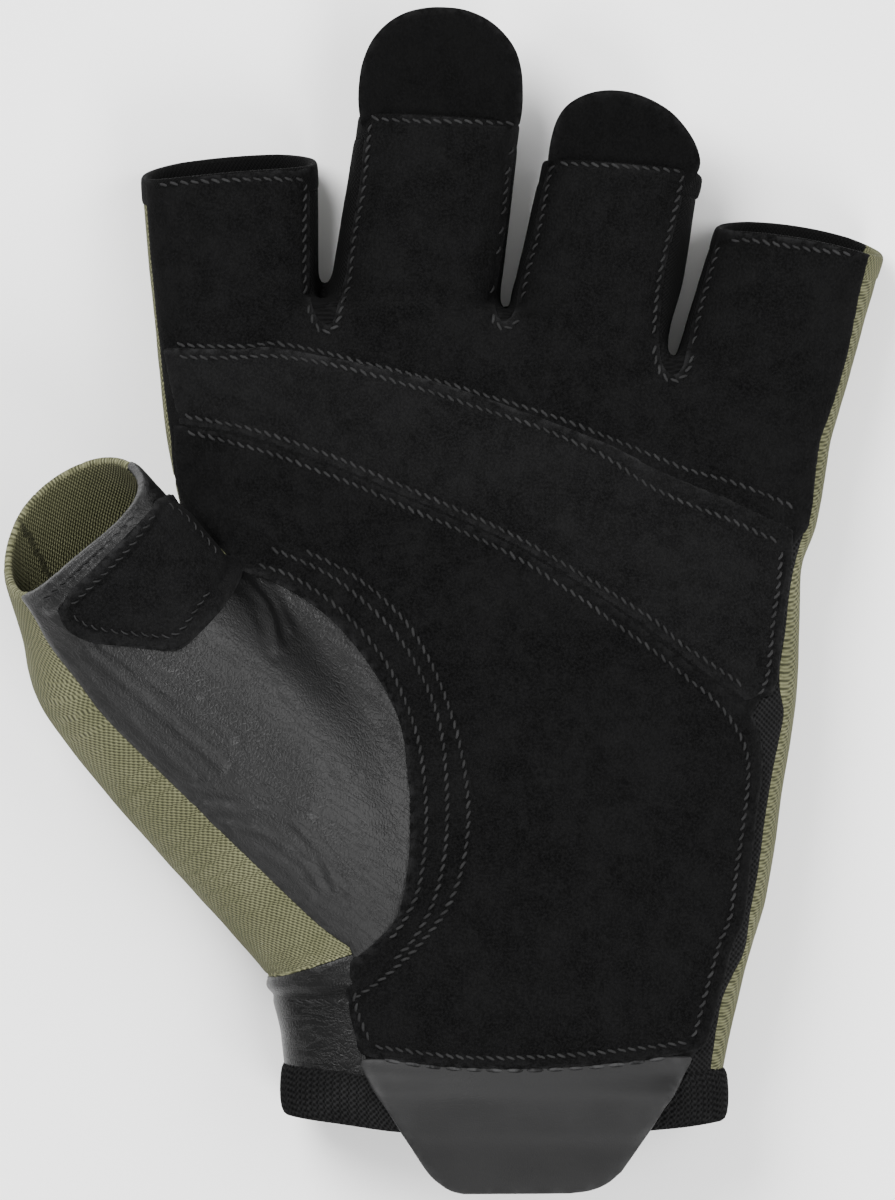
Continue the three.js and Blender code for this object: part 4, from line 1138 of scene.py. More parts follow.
# %% Blow up the pads
SWELL_CAP = 1.3  # millimetres
SIM_SCALE = 5 * MM
SIM_FRAMES = 20
PRESSURE = 4.0
HELD_WITHIN = 0.55  # millimetres from a row of stitches


def blown_up(name, skin):
    """A function that says how far a pad swells at given points, by cloth simulation."""
    skin.verts.index_update()
    points = np.array([v.co for v in skin.verts])
    faces = [[v.index for v in f.verts] for f in skin.faces]
    edge = {v.index for e in skin.edges if len(e.link_faces) == 1 for v in e.verts}
    skin.free()
    rows = near_pad_rows(points)
    held = [i for i in range(len(points)) if i in edge or rows[i] < HELD_WITHIN]
    sheet = mesh_object(name, points, faces, SIM_SCALE)
    sheet.vertex_groups.new(name="sewn").add(held, 1.0, "REPLACE")
    cloth = sheet.modifiers.new("foam", "CLOTH")
    cloth.settings.quality = 4
    cloth.settings.vertex_group_mass = "sewn"
    cloth.settings.use_pressure = True
    cloth.settings.uniform_pressure_force = PRESSURE
    cloth.settings.effector_weights.gravity = 0.0
    cloth.collision_settings.use_collision = False
    for frame_number in range(1, SIM_FRAMES + 1):
        scene.frame_set(frame_number)
    moved = read_vectors(final_mesh(sheet).vertices) / SIM_SCALE
    discard(sheet)
    scene.frame_set(1)
    rise = ((moved - points) * plain_normals(points)).sum(1)
    print(name, len(points), "points rose to", round(float(rise.max()), 2), "mm")
    rise = np.clip(rise / max(np.percentile(rise, 90), 1e-6), 0, 1) * SWELL_CAP
    tree = kd_tree(points)

    def swell(at):
        out = np.empty(len(at))
        for i, p in enumerate(at):
            near = tree.find_n(p, 4)
            weights = np.array([1 / (n[2] + 0.05) for n in near])
            out[i] = (weights * [rise[n[1]] for n in near]).sum() / weights.sum()
        return out

    return swell


KNUCKLE_STEPS = [("INTERSECT", cutter(prism(knuckle_outline, PADS_FROM)))]
HEEL_STEPS = [("DIFFERENCE", leather_cutter), ("INTERSECT", cutter(prism(heel_outline, PADS_FROM)))]
knuckle_swell = blown_up("knuckle_foam", skin_patch(plain_open, *KNUCKLE_STEPS))
heel_swell = blown_up("heel_foam", skin_patch(plain_open, *HEEL_STEPS))

# %% Padded panels
def pad_lift(points, far, normals, swell):
    """A pad rises by its foam and is pulled down along its stitches."""
    rows = near_pad_rows(points)
    height = 0.55 + 0.6 * rounded(far, 0.8) + swell(points) + valley(rows, 0.32, 0.55)
    height += 0.3 * uneven(points, 12.0, 41.0) * ease(rows, 1, 6) + 0.07 * uneven(points, 3.0, 43.0)
    return np.maximum(height * (0.25 + 0.75 * on_top(normals)), 0.15)


def pad(name, steps, swell):
    """A foam-filled pad out of the fine form's skin."""
    lift = partial(pad_lift, swell=swell)
    made = sewn_panel(name, skin_patch(fine_open, *steps), fine_normals, lift, wall=0.5, rim=0.3)
    return made


knuckle_pad = pad("knuckle_pad_suede", KNUCKLE_STEPS, knuckle_swell)
heel_pad = pad("heel_pad_suede", HEEL_STEPS, heel_swell)

# %% [markdown]
# ## Hems, cuff and tabs
#
# Each finger's mouth has a rolled black hem, whose far side peeks out above the palm's edge. The
# cuff is a fine-ribbed elastic ring. Both are lofted rings with a rounded profile. The pull tabs
# on the middle and ring fingers and the smooth tab at the heel are flat leather, cut to their
# outlines and bent a little.

# %% Finger hems
HEM_PROFILE = [  # behind the mouth's edge, outside the skin
    (3.4, 0.05), (3.0, 0.3), (2.2, 0.38), (1.2, 0.4), (0.4, 0.36), (0.0, 0.22), (-0.3, -0.1), (-0.36, -0.5),
    (-0.2, -0.9), (0.3, -1.25), (1.2, -1.4), (2.4, -1.4), (3.4, -1.2), (3.7, -0.6),
]
HEM_SWELL = {"index": 0.35, "middle": 0.1, "ring": 0.3, "little": 0.8}


def mouth_ring(name, behind, grow, sides=96):
    """A ring that follows a finger's mouth, some millimetres behind its edge."""
    reach, _, _, _, skew, _, _, slant, bow = FINGERS[name]
    place, half_width = finger_line(name)
    u, w = round_section(sides, 2.5)
    half = half_width(reach)
    waist = FINGER_THICKNESS / 2
    under_suede = ease(w, 0.1, 0.5) * (grow > 0)
    swell = HEM_SWELL[name] + (1.3 * ease(u, 0.5, 1.0) if name == "ring" else 0)
    lift = (grow * swell if grow > 0 else grow) * (1 - under_suede)
    height = np.where(w > 0, waist + w * (waist + lift), waist + w * (waist + FLOOR_PRESS + lift))
    height = np.maximum(height, 0.15 if grow < 0 else 0.0)
    far = reach + bow * MOUTH_BOW * (1 - u * u) + u * half * math.tan(math.radians(skew)) - behind
    far = far - slant * MOUTH_SLANT * (height / FINGER_THICKNESS - 0.5)
    asides = u * (half + lift)
    at = np.array([place(f, aside) for f, aside in zip(far, asides)])
    return np.column_stack([at, np.maximum(height, -grow if grow < 0 else 0)])


def ring_piece(name, rings):
    """A closed band whose rings are joined round their profile."""
    sides, count = len(rings[0]), len(rings)
    points, faces = np.vstack(rings), []
    for r in range(count):
        for s in range(sides):
            a, b = r * sides + s, r * sides + (s + 1) % sides
            c = (r + 1) % count * sides
            faces.append((a, b, c + (s + 1) % sides, c + s))
    points, faces = outward_facing(points, faces)
    made = mesh_object(name, points, faces, MM)
    made.data.shade_smooth()
    round_about = np.concatenate([[0], np.cumsum(np.linalg.norm(np.diff(rings[0], axis=0), axis=1))])
    put_cloth(made, np.vstack([np.column_stack([round_about, ring[:, 1]]) for ring in rings]))
    put_attribute(made, "near_edge", np.zeros(len(points)))
    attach(made, "root")
    print(name, len(faces), "faces")
    return made


hems = {name: ring_piece(f"{name}_hem", [mouth_ring(name, *p) for p in HEM_PROFILE]) for name in FINGERS}

# %% Cuff
CUFF_PROFILE = [  # below the wrist's edge, outside the skin
    (-0.9, 0.1), (-0.5, 0.55), (0.2, 0.85), (1.2, 1.0), (2.6, 1.1), (3.6, 1.12), (4.8, 1.08), (6.0, 0.9),
    (6.8, 0.55), (7.15, 0.1), (7.2, -0.4), (6.9, -0.85), (6.0, -1.05), (4.0, -1.1), (2.0, -1.1), (0.0, -1.05),
    (-0.9, -0.7),
]
CUFF_SIDES, CUFF_RIBS, RIB_DEPTH = 520, 104, 0.3


def cuff_ring(below, grow):
    """A ribbed ring of the cuff, below the edge of the wrist."""
    ribs = 0.5 + 0.5 * np.cos(2 * np.pi * CUFF_RIBS * np.arange(CUFF_SIDES) / CUFF_SIDES)
    row = PALM_ROWS[0]
    left, right, bow = palm_ends(row)
    section = (left - [0, below], right - [0, below], bow, row[5:8] * PALM_THICKNESS, CUFF_SIDES, 3.0)
    smooth, deep = lying_ring(*section, grow), lying_ring(*section, grow - RIB_DEPTH)
    ring = smooth * ribs[:, None] + deep * (1 - ribs)[:, None] if grow > 0.3 else smooth
    ring[:, 2] = np.maximum(ring[:, 2], max(-grow, 0))
    ring[:, 1] += 0.12 * np.sin(ring[:, 0] / 5.1) + 0.08 * np.sin(ring[:, 0] / 2.3 + 1)
    return ring


cuff = ring_piece("cuff_elastic", [cuff_ring(*p) for p in CUFF_PROFILE])

# %% Tabs
MIDDLE_TAB = [
    (-11.1, 70.2), (-11.4, 73.6), (-11.2, 76.8), (-10.6, 79.5), (-9.3, 82.3), (-7.2, 84.6), (-4.6, 86.1),
    (-1.7, 86.8),
    (1.2, 86.9), (4.2, 86.5), (7.3, 85.2), (9.8, 83.1), (11.5, 80.6), (12.3, 77.7), (12.5, 74.8),
    (12.4, 72.1), (12.1, 70.2),
]
RING_TAB = [
    (16.5, 63.0), (17.1, 67.2), (17.9, 70.1), (19.2, 72.2), (21.2, 73.6), (23.6, 74.4), (26.2, 74.6),
    (29.0, 74.2),
    (31.9, 73.1), (34.6, 71.4), (36.7, 69.1), (38.2, 66.6), (38.8, 64.2), (38.2, 62.4),
]
HEEL_TAB = [
    [(-10.9, -68.6), (-10.6, -70.0), (-6.8, -75.9), (-1.8, -84.0)],
    [(-1.8, -84.0), (-0.6, -85.6), (0.8, -86.8), (2.3, -87.7), (4.0, -88.1)],
    [(4.0, -88.1), (19.6, -88.0)],
    [(19.6, -88.0), (22.6, -87.6), (25.0, -86.6), (27.0, -84.9)],
    [(27.0, -84.9), (30.0, -80.4), (37.0, -69.3), (37.2, -68.2)],
    [(37.4, -68.2), (-10.9, -68.6)],
]


def inside(outline, points):
    """Which points lie inside an outline."""
    result = np.zeros(len(points), bool)
    for (x0, y0), (x1, y1) in zip(outline, np.roll(outline, -1, axis=0)):
        crosses = (y0 > points[:, 1]) != (y1 > points[:, 1])
        with np.errstate(divide="ignore", invalid="ignore"):
            at = (x1 - x0) * (points[:, 1] - y0) / (y1 - y0) + x0
        result ^= crosses & (points[:, 0] < at)
    return result


def flat_patch(outline, surface, spacing=0.7):
    """An even net of triangles inside an outline, laid on a surface z = surface(x, y)."""
    outline = np.asarray(outline)
    low, high = outline.min(0), outline.max(0)
    across, along = [np.arange(low[k], high[k], spacing) for k in (0, 1)]
    grid = np.stack(np.meshgrid(across, along), -1).reshape(-1, 2)
    grid = grid[inside(outline, grid)]
    gap = np.array([np.min(np.sum((outline - g) ** 2, axis=1)) for g in grid])
    grid = grid[gap > (0.6 * spacing) ** 2]
    given = [Vector(p) for p in np.vstack([outline, grid])]
    spots, _, triangles, *_ = delaunay_2d_cdt(given, [], [list(range(len(outline)))], 1, 1e-4)
    bm = bmesh.new()
    heights = surface(np.array([[p.x, p.y] for p in spots]))
    verts = [bm.verts.new((p.x, p.y, z)) for p, z in zip(spots, heights)]
    for triangle in triangles:
        bm.faces.new([verts[i] for i in triangle])
    bm.normal_update()
    for face in bm.faces:
        if face.normal.z < 0:
            face.normal_flip()
    bm.normal_update()
    return bm


def patch_normals(bm):
    """The normals of a patch that is not moved before it is sewn."""
    normals = np.array([v.normal for v in bm.verts])
    return lambda points: normals


def pull_tab(name, tip, droop, hang, top):
    """A tab sewn inside a finger: its root is narrower and lies under the suede."""
    reach, lean = FINGERS[name][0], math.radians(FINGERS[name][3])
    place, half_width = finger_line(name)
    half = half_width(reach)
    root = [place(reach - 5.5, 0.55 * half), place(reach - 5.5, -0.55 * half)]
    ahead = np.array([math.sin(lean), math.cos(lean)])
    start = place(reach, 0)
    length = max((np.array(tip) - start) @ ahead)

    def surface(at):
        away = at - start
        far = away @ ahead
        aside = away @ np.array([ahead[1], -ahead[0]]) / half
        share = np.clip(far / length, 0, 1)
        bend = droop * share**1.6 + hang * aside**2 * (1 - 0.45 * share)
        return top - bend + 0.25 * np.sin(3.0 * share) * aside - 0.9 * ease(-far, 0, 2.5)

    outline = np.vstack([smooth_line(tip, 0.6), smooth_line(root, 0.6)])
    bm = flat_patch(outline, surface, 0.6)

    def lift(points, far, normals):
        return 0.12 * rounded(far, 0.8) + 0.06 * uneven(points, 5.0, 51.0)

    return sewn_panel(f"{name}_pull_tab", bm, patch_normals(bm), lift, wall=1.2, rim=0.45, soften=0)


middle_tab = pull_tab("middle", MIDDLE_TAB, 1.6, 3.0, 16.6)
ring_tab = pull_tab("ring", RING_TAB, 1.2, 3.0, 16.5)


DOWN = Vector((0, 0, -1))
RAY_START = 80  # millimetres up, above the whole glove
bare_skin = BVHTree.FromObject(fine_open, bpy.context.evaluated_depsgraph_get())
across_heel = np.arange(-12, 41, 2)
skin_heights = [bare_skin.ray_cast(Vector((x, -68.4, RAY_START)), DOWN)[0].z for x in across_heel]
foot = np.array(sorted(HEEL_FOOT[:7]))


def heel_surface(at):
    """The heel tab lies on the skin at its root and stands off flat over the cuff."""
    over_cuff = ease(-at[:, 1], 70.0, 74.5)
    beyond = np.interp(at[:, 0], foot[:, 0], foot[:, 1]) - at[:, 1]
    skin_height = np.interp(at[:, 0], across_heel, skin_heights) + 0.15 + 0.45 * ease(beyond, -0.8, 0.8)
    tip = ease(-at[:, 1], 78.5, 90.0)
    aside = (at[:, 0] - 13.3) / 24.0
    flat_height = 26.2 - 5.2 * tip - 0.25 * aside**2 + 0.12 * np.sin(at[:, 0] / 6.0) * tip
    return skin_height * (1 - over_cuff) + flat_height * over_cuff


def heel_tab_lift(points, far, normals):
    return 0.05 * uneven(points, 8.0, 61.0) + 0.08 * rounded(far, 0.6)


heel_bm = flat_patch(np.vstack([smooth_line(part, 0.7)[:-1] for part in HEEL_TAB]), heel_surface, 0.9)
heel_tab = sewn_panel(
    "heel_tab_leather", heel_bm, patch_normals(heel_bm), heel_tab_lift, wall=1.1, rim=0.4, soften=0,
)

# %% [markdown]
# ## Thread
#
# Every stitch is a short piece of thread that comes out of one hole, bulges and goes into the
# next, a little aslant of its row. Thousands of polygons would be wasted on round thread, so
# each stitch is a small six-sided tube, laid on the panels by dropping rays on them.

# %% Lay the stitches
def landing(pieces):
    """What rays can land on: the surfaces of some pieces, in millimetres."""
    points, faces = [], []
    for piece in pieces:
        first = len(points)
        points.extend([v.co / MM for v in piece.data.vertices])
        faces.extend([[first + i for i in p.vertices] for p in piece.data.polygons])
    return BVHTree.FromPolygons(points, faces)


def stitches(name, rows, ground, pitch=1.5, thick=0.47, slant=0.3):
    """All the stitches of some rows, as one object."""
    gathered = ([], [])
    for number, row in enumerate(rows):
        line = smooth_line(row, pitch)
        across = beside(line, 1.0) - line
        for k in range(len(line) - 1):
            chance = noise.noise(Vector((line[k][0], line[k][1], number)))
            aside = slant * (1 + 0.5 * chance)
            a = line[k] * 0.94 + line[k + 1] * 0.06 + across[k] * aside
            b = line[k] * 0.02 + line[k + 1] * 0.98 - across[k + 1] * aside
            add_stitch(gathered, a, b, ground, thick / 2 * (1 + 0.2 * chance))
    made = mesh_object(name, np.vstack(gathered[0]), gathered[1], MM)
    made.data.shade_smooth()
    put_attribute(made, "near_edge", np.zeros(len(made.data.vertices)))
    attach(made, "root")
    print(name, len(gathered[0]), "stitches")
    return made


STITCH_RISE = (-0.16, 0.04, 0.13, 0.13, 0.04, -0.16)
STITCH_ROUND = (0.45, 0.9, 1.0, 1.0, 0.9, 0.45)
LARGEST_STEP = 1.6  # a stitch that would bridge more than this is left out


def add_stitch(gathered, a, b, ground, radius):
    """One stitch between two places, if the ground under it is even."""
    run = b - a
    spots = []
    for share, rise in zip(np.linspace(0, 1, 6), STITCH_RISE):
        at = a + run * share
        hit, normal, *_ = ground.ray_cast(Vector((at[0], at[1], RAY_START)), DOWN)
        if hit is None:
            return
        spots.append((np.array(hit) + np.array(normal) * rise, np.array(normal)))
    heights = [spot[2] for spot, _ in spots]
    if max(heights) - min(heights) > LARGEST_STEP:
        return
    length = np.linalg.norm(spots[-1][0] - spots[0][0])
    ahead = (spots[-1][0] - spots[0][0]) / length
    turn = 2 * np.pi * np.arange(6) / 6
    rings = []
    for (middle, normal), share in zip(spots, STITCH_ROUND):
        side = np.cross(ahead, normal)
        side /= np.linalg.norm(side)
        up = np.cross(side, ahead)
        around = np.outer(np.cos(turn), side) + 0.8 * np.outer(np.sin(turn), up)
        rings.append(middle + radius * share * around)
    points, faces = loft(rings)
    add_mesh(gathered, *outward_facing(points, faces))


ground = landing([
    palm_suede, knuckle_pad, heel_pad, thumb_leather, thumb_patch, wrist_leather, middle_tab, ring_tab,
])
finger_thread = stitches("finger_stitches", FINGER_ROWS.values(), ground)
palm_thread = stitches("palm_stitches", SEAM_ROWS.values(), ground)
thumb_thread = stitches("thumb_stitches", [*PATCH_ROWS.values(), *BAND_ROW.values()], ground, thick=0.3)
foot_ground = landing([heel_pad, heel_tab])
# A pale row along the heel pad's foot: its cut edge, and a painted highlight where the rim catches light.
foot_line = beside(smooth_line(HEEL_FOOT[:7], 0.5), 0.35)
raw_edge_and_highlight = stitches("pad_raw_edge_and_highlight", [foot_line], foot_ground, pitch=3.1, thick=0.55, slant=0.03)
WRIST_ROW = [(-22.4, -60.0), (-20.3, -59.8), (-17.3, -59.9), (-14.0, -60.1)]
wrist_thread = stitches("wrist_stitches", [WRIST_ROW], ground, thick=0.28)

# %% [markdown]
# ## Finishes
#
# Four effects are used by more than one finish, so each is a node group: the nap of suede, the
# creases of leather, a knitted weave that follows the flat cloth coordinate, and lighter cut
# edges, which are partly scuffing and partly a painted highlight. Each finish then places the
# groups with its own values.

# %% Node helpers
def group(name, inputs, outputs):
    """An empty node group with number sockets, and its input and output nodes."""
    made = bpy.data.node_groups.new(name, "ShaderNodeTree")
    for socket, value in inputs.items():
        new = made.interface.new_socket(socket, in_out="INPUT", socket_type="NodeSocketFloat")
        new.default_value = value
    for socket in outputs:
        made.interface.new_socket(socket, in_out="OUTPUT", socket_type="NodeSocketFloat")
    return made, made.nodes.new("NodeGroupInput"), made.nodes.new("NodeGroupOutput")


def math_node(tree, operation, a, b=0.0):
    made = tree.nodes.new("ShaderNodeMath")
    made.operation = operation
    for socket, value in zip(made.inputs, (a, b)):
        if isinstance(value, (int, float)):
            socket.default_value = value
        else:
            tree.links.new(value, socket)
    return made.outputs[0]


def scaled_place(tree, size, stretch=(1, 1, 1)):
    """The place on the object in units of a size in millimetres."""
    place = tree.nodes.new("ShaderNodeTexCoord").outputs["Object"]
    shape = tree.nodes.new("ShaderNodeVectorMath")
    shape.operation = "MULTIPLY"
    tree.links.new(place, shape.inputs[0])
    shape.inputs[1].default_value = tuple(1000 * s for s in stretch)
    scale = tree.nodes.new("ShaderNodeVectorMath")
    scale.operation = "SCALE"
    tree.links.new(shape.outputs[0], scale.inputs[0])
    if isinstance(size, (int, float)):
        scale.inputs["Scale"].default_value = 1 / size
    else:
        tree.links.new(math_node(tree, "DIVIDE", 1.0, size), scale.inputs["Scale"])
    return scale.outputs[0]


def noise_at(tree, vector, detail, roughness, distortion=0.0):
    made = tree.nodes.new("ShaderNodeTexNoise")
    tree.links.new(vector, made.inputs["Vector"])
    made.inputs["Scale"].default_value = 1.0
    made.inputs["Detail"].default_value = detail
    made.inputs["Roughness"].default_value = roughness
    made.inputs["Distortion"].default_value = distortion
    return made.outputs["Fac"]


def noise_node(tree, size, detail=3.0, roughness=0.55, stretch=(1, 1, 1)):
    return noise_at(tree, scaled_place(tree, size, stretch), detail, roughness)


def cloth_place(tree):
    made = tree.nodes.new("ShaderNodeUVMap")
    made.uv_map = "cloth"
    return made.outputs["UV"]


def across_and_along(tree):
    """The two numbers of the flat cloth coordinate."""
    made = tree.nodes.new("ShaderNodeSeparateXYZ")
    tree.links.new(cloth_place(tree), made.inputs[0])
    return made.outputs["X"], made.outputs["Y"]


def wave(tree, way, size):
    """A sine wave along a coordinate, with one turn for each size."""
    turns = math_node(tree, "DIVIDE", math_node(tree, "MULTIPLY", way, 2 * math.pi), size)
    return math_node(tree, "SINE", turns)


def spread(tree, value, low, high):
    """A value spread out from a narrow range to 0 to 1."""
    made = tree.nodes.new("ShaderNodeMapRange")
    made.interpolation_type = "SMOOTHSTEP"
    tree.links.new(value, made.inputs["Value"])
    made.inputs["From Min"].default_value, made.inputs["From Max"].default_value = low, high
    return made.outputs["Result"]


# %% Node groups
nap, nap_in, nap_out = group(
    "suede_nap", {"Fibre size": 0.3, "Blotch size": 6.0}, ("Fibres", "Blotches", "Height"),
)
fibres = noise_node(nap, nap_in.outputs["Fibre size"], 4.0, 0.7)
brushed = noise_node(nap, nap_in.outputs["Fibre size"], 2.0, 0.6, (1.0, 0.35, 1.0))
blotches = noise_node(nap, nap_in.outputs["Blotch size"], 4.0, 0.62)
nap.links.new(spread(nap, fibres, 0.35, 0.7), nap_out.inputs["Fibres"])
nap.links.new(spread(nap, blotches, 0.38, 0.68), nap_out.inputs["Blotches"])
nap.links.new(math_node(nap, "ADD", fibres, brushed), nap_out.inputs["Height"])

grain, grain_in, grain_out = group(
    "leather_grain", {"Cell size": 0.7, "Crease size": 5.0}, ("Creases", "Cloud", "Height"),
)
cells = grain.nodes.new("ShaderNodeTexVoronoi")
cells.feature = "DISTANCE_TO_EDGE"
cells.inputs["Scale"].default_value = 1.0
grain.links.new(scaled_place(grain, grain_in.outputs["Cell size"], (1.0, 0.7, 1.0)), cells.inputs["Vector"])
pebbles = spread(grain, cells.outputs["Distance"], 0.0, 0.25)
drawn_out = grain.nodes.new("ShaderNodeVectorMath")
drawn_out.operation = "MULTIPLY"
grain.links.new(cloth_place(grain), drawn_out.inputs[0])
drawn_out.inputs[1].default_value = (0.17, 0.75, 1.0)
creases = noise_at(grain, drawn_out.outputs[0], 5.0, 0.62, 0.5)
crest = math_node(grain, "ABSOLUTE", math_node(grain, "SUBTRACT", creases, 0.5))
cracks = spread(grain, crest, 0.0, 0.045)
clouds = noise_node(grain, grain_in.outputs["Crease size"], 3.0, 0.5)
grain.links.new(cracks, grain_out.inputs["Creases"])
grain.links.new(spread(grain, clouds, 0.3, 0.7), grain_out.inputs["Cloud"])
low, high = math_node(grain, "MULTIPLY", pebbles, 0.5), math_node(grain, "MULTIPLY", cracks, 0.6)
grain.links.new(math_node(grain, "ADD", low, high), grain_out.inputs["Height"])

weave, weave_in, weave_out = group("knitted_weave", {"Rib": 0.55, "Course": 0.8}, ("Threads", "Height"))
over, up = across_and_along(weave)
wander = math_node(weave, "MULTIPLY", noise_node(weave, 1.2, 2.0), 0.25)
first_way = math_node(weave, "ADD", math_node(weave, "ADD", over, up), wander)
second_way = math_node(weave, "SUBTRACT", over, math_node(weave, "MULTIPLY", up, 0.7))
rib_wave = math_node(weave, "MULTIPLY", wave(weave, first_way, weave_in.outputs["Rib"]), 0.3)
course_wave = math_node(weave, "MULTIPLY", wave(weave, second_way, weave_in.outputs["Course"]), 0.22)
loops = math_node(weave, "ADD", math_node(weave, "ADD", rib_wave, course_wave), 0.5)
weave.links.new(loops, weave_out.inputs["Height"])
weave.links.new(spread(weave, loops, 0.05, 0.85), weave_out.inputs["Threads"])

# Lighter near cut edges: partly scuffing, and partly a painted highlight where the rounded rims catch light.
scuffing_and_highlight, scuffing_and_highlight_in, scuffing_and_highlight_out = group("edge_scuffing_and_highlight", {"Amount": 1.0, "Patch size": 1.5}, ("Wear",))
near = scuffing_and_highlight.nodes.new("ShaderNodeAttribute")
near.attribute_name = "near_edge"
scuffed = spread(scuffing_and_highlight, noise_node(scuffing_and_highlight, scuffing_and_highlight_in.outputs["Patch size"], 3.0), 0.35, 0.65)
scuffs_and_highlight = math_node(scuffing_and_highlight, "MULTIPLY", near.outputs["Fac"], scuffed)
scuffing_and_highlight.links.new(math_node(scuffing_and_highlight, "MULTIPLY", scuffs_and_highlight, scuffing_and_highlight_in.outputs["Amount"]), scuffing_and_highlight_out.inputs["Wear"])
print("node groups:", [g.name for g in (nap, grain, weave, scuffing_and_highlight)])


# %% Finishes
class Finish:
    """A material with a Principled shader, built up by mixing colours over each other."""

    def __init__(self, name, colour, roughness, sheen=0.0, specular=0.5):
        self.material = bpy.data.materials.new(name)
        self.material.use_nodes = True
        self.material.diffuse_color = (*colour, 1)
        self.tree = self.material.node_tree
        self.shader = self.tree.nodes["Principled BSDF"]
        self.shader.inputs["Roughness"].default_value = roughness
        self.shader.inputs["Sheen Weight"].default_value = sheen
        self.shader.inputs["Sheen Roughness"].default_value = 0.5
        self.shader.inputs["Specular IOR Level"].default_value = specular
        self.colour = self.tree.nodes.new("ShaderNodeRGB")
        self.colour.outputs[0].default_value = (*colour, 1)
        self.current = self.colour.outputs[0]

    def use(self, tree, **values):
        made = self.tree.nodes.new("ShaderNodeGroup")
        made.node_tree = tree
        for name, value in values.items():
            made.inputs[name.replace("_", " ")].default_value = value
        return made.outputs

    def tint(self, mask, colour, amount=1.0):
        mix = self.tree.nodes.new("ShaderNodeMix")
        mix.data_type = "RGBA"
        self.tree.links.new(math_node(self.tree, "MULTIPLY", mask, amount), mix.inputs["Factor"])
        self.tree.links.new(self.current, mix.inputs[6])
        mix.inputs[7].default_value = (*colour, 1)
        self.current = mix.outputs[2]

    def bump(self, height, depth, strength):
        made = self.tree.nodes.new("ShaderNodeBump")
        made.inputs["Strength"].default_value = strength
        made.inputs["Distance"].default_value = depth * MM
        self.tree.links.new(height, made.inputs["Height"])
        self.tree.links.new(made.outputs[0], self.shader.inputs["Normal"])

    def vary(self, socket, mask, low, high, start=0.0, end=1.0):
        """Lets a mask set one of the shader's values."""
        made = self.tree.nodes.new("ShaderNodeMapRange")
        self.tree.links.new(mask, made.inputs["Value"])
        made.inputs["From Min"].default_value, made.inputs["From Max"].default_value = start, end
        made.inputs["To Min"].default_value, made.inputs["To Max"].default_value = low, high
        self.tree.links.new(made.outputs["Result"], self.shader.inputs[socket])

    def rough(self, mask, low, high):
        self.vary("Roughness", mask, low, high)

    def done(self):
        self.tree.links.new(self.current, self.shader.inputs["Base Color"])
        return self.material


def grey(value):
    return (value, value, value * 1.02)


def suede_finish(name, dark, light, sheen):
    """Brushed suede: dull, blotchy, with paler fibres, and paler edges that are partly scuffed and partly a
    painted highlight.
    """
    finish = Finish(name, grey(dark), 0.95, sheen=sheen, specular=0.03)
    fuzz = finish.use(nap, Fibre_size=0.36, Blotch_size=9.0)
    brushed = finish.use(nap, Fibre_size=0.9, Blotch_size=2.2)
    scuffs_and_highlight = finish.use(scuffing_and_highlight, Amount=0.8)
    finish.tint(fuzz["Blotches"], grey(light), 0.7)
    finish.tint(brushed["Blotches"], grey(light * 1.3), 0.35)
    finish.tint(fuzz["Fibres"], grey(light * 2.4), 0.5)
    # Paler edges: scuffing, and a painted highlight.
    finish.tint(scuffs_and_highlight["Wear"], grey(light * 4), 0.7)
    finish.rough(fuzz["Fibres"], 0.85, 1.0)
    finish.bump(fuzz["Height"], 0.2, 0.9)
    return finish.done()


suede = suede_finish("black_suede_finish", 0.0011, 0.0036, 0.003)
dusty_suede = suede_finish("dusty_suede_finish", 0.0018, 0.0046, 0.004)
tab_suede = suede_finish("tab_suede_finish", 0.0014, 0.0024, 0.0)


def worn_leather(name, dark, light, shine):
    """Smooth leather with grain and fine creases, with painted shade in the creases, and lighter where it is
    rubbed and where a highlight is painted near its edges.
    """
    finish = Finish(name, grey(dark), 0.46, specular=shine)
    skin = finish.use(grain, Cell_size=0.55, Crease_size=6.0)
    scuffs_and_highlight = finish.use(scuffing_and_highlight, Amount=0.8)
    finish.tint(skin["Cloud"], grey(light), 0.6)
    # Painted shade in the grain's creases.
    finish.tint(math_node(finish.tree, "SUBTRACT", 1.0, skin["Creases"]), grey(0.8 * dark), 0.35)
    # Lighter edges: rubbing, and a painted highlight.
    finish.tint(scuffs_and_highlight["Wear"], grey(4.0 * light), 0.5)
    finish.rough(skin["Cloud"], 0.36, 0.46)
    finish.bump(skin["Height"], 0.06, 0.8)
    return finish


thumb_finish = worn_leather("thumb_leather_finish", 0.0024, 0.0048, 0.27)
_, from_seam = across_and_along(thumb_finish.tree)
thumb_finish.vary("Roughness", from_seam, 0.7, 0.4, -46.0, -24.0)  # duller towards the knit's seam
leather = thumb_finish.done()
# The wrist's leather is the thumb's leather given darker colours, as painted shade.
shaded_wrist_finish = worn_leather("shaded_wrist_leather_finish", 0.0016, 0.003, 0.17).done()

tab_leather = Finish("heel_tab_finish", grey(0.0075), 0.56, specular=0.17)
skin = tab_leather.use(grain, Cell_size=0.35, Crease_size=9.0)
scuffs_and_highlight = tab_leather.use(scuffing_and_highlight, Amount=0.8)
tab_leather.tint(skin["Cloud"], grey(0.0105), 0.7)
# Lighter edges: scuffing, and a painted highlight.
tab_leather.tint(scuffs_and_highlight["Wear"], grey(0.025), 0.5)
tab_leather.rough(skin["Cloud"], 0.5, 0.62)
tab_leather.bump(skin["Height"], 0.02, 0.5)
tab_leather = tab_leather.done()


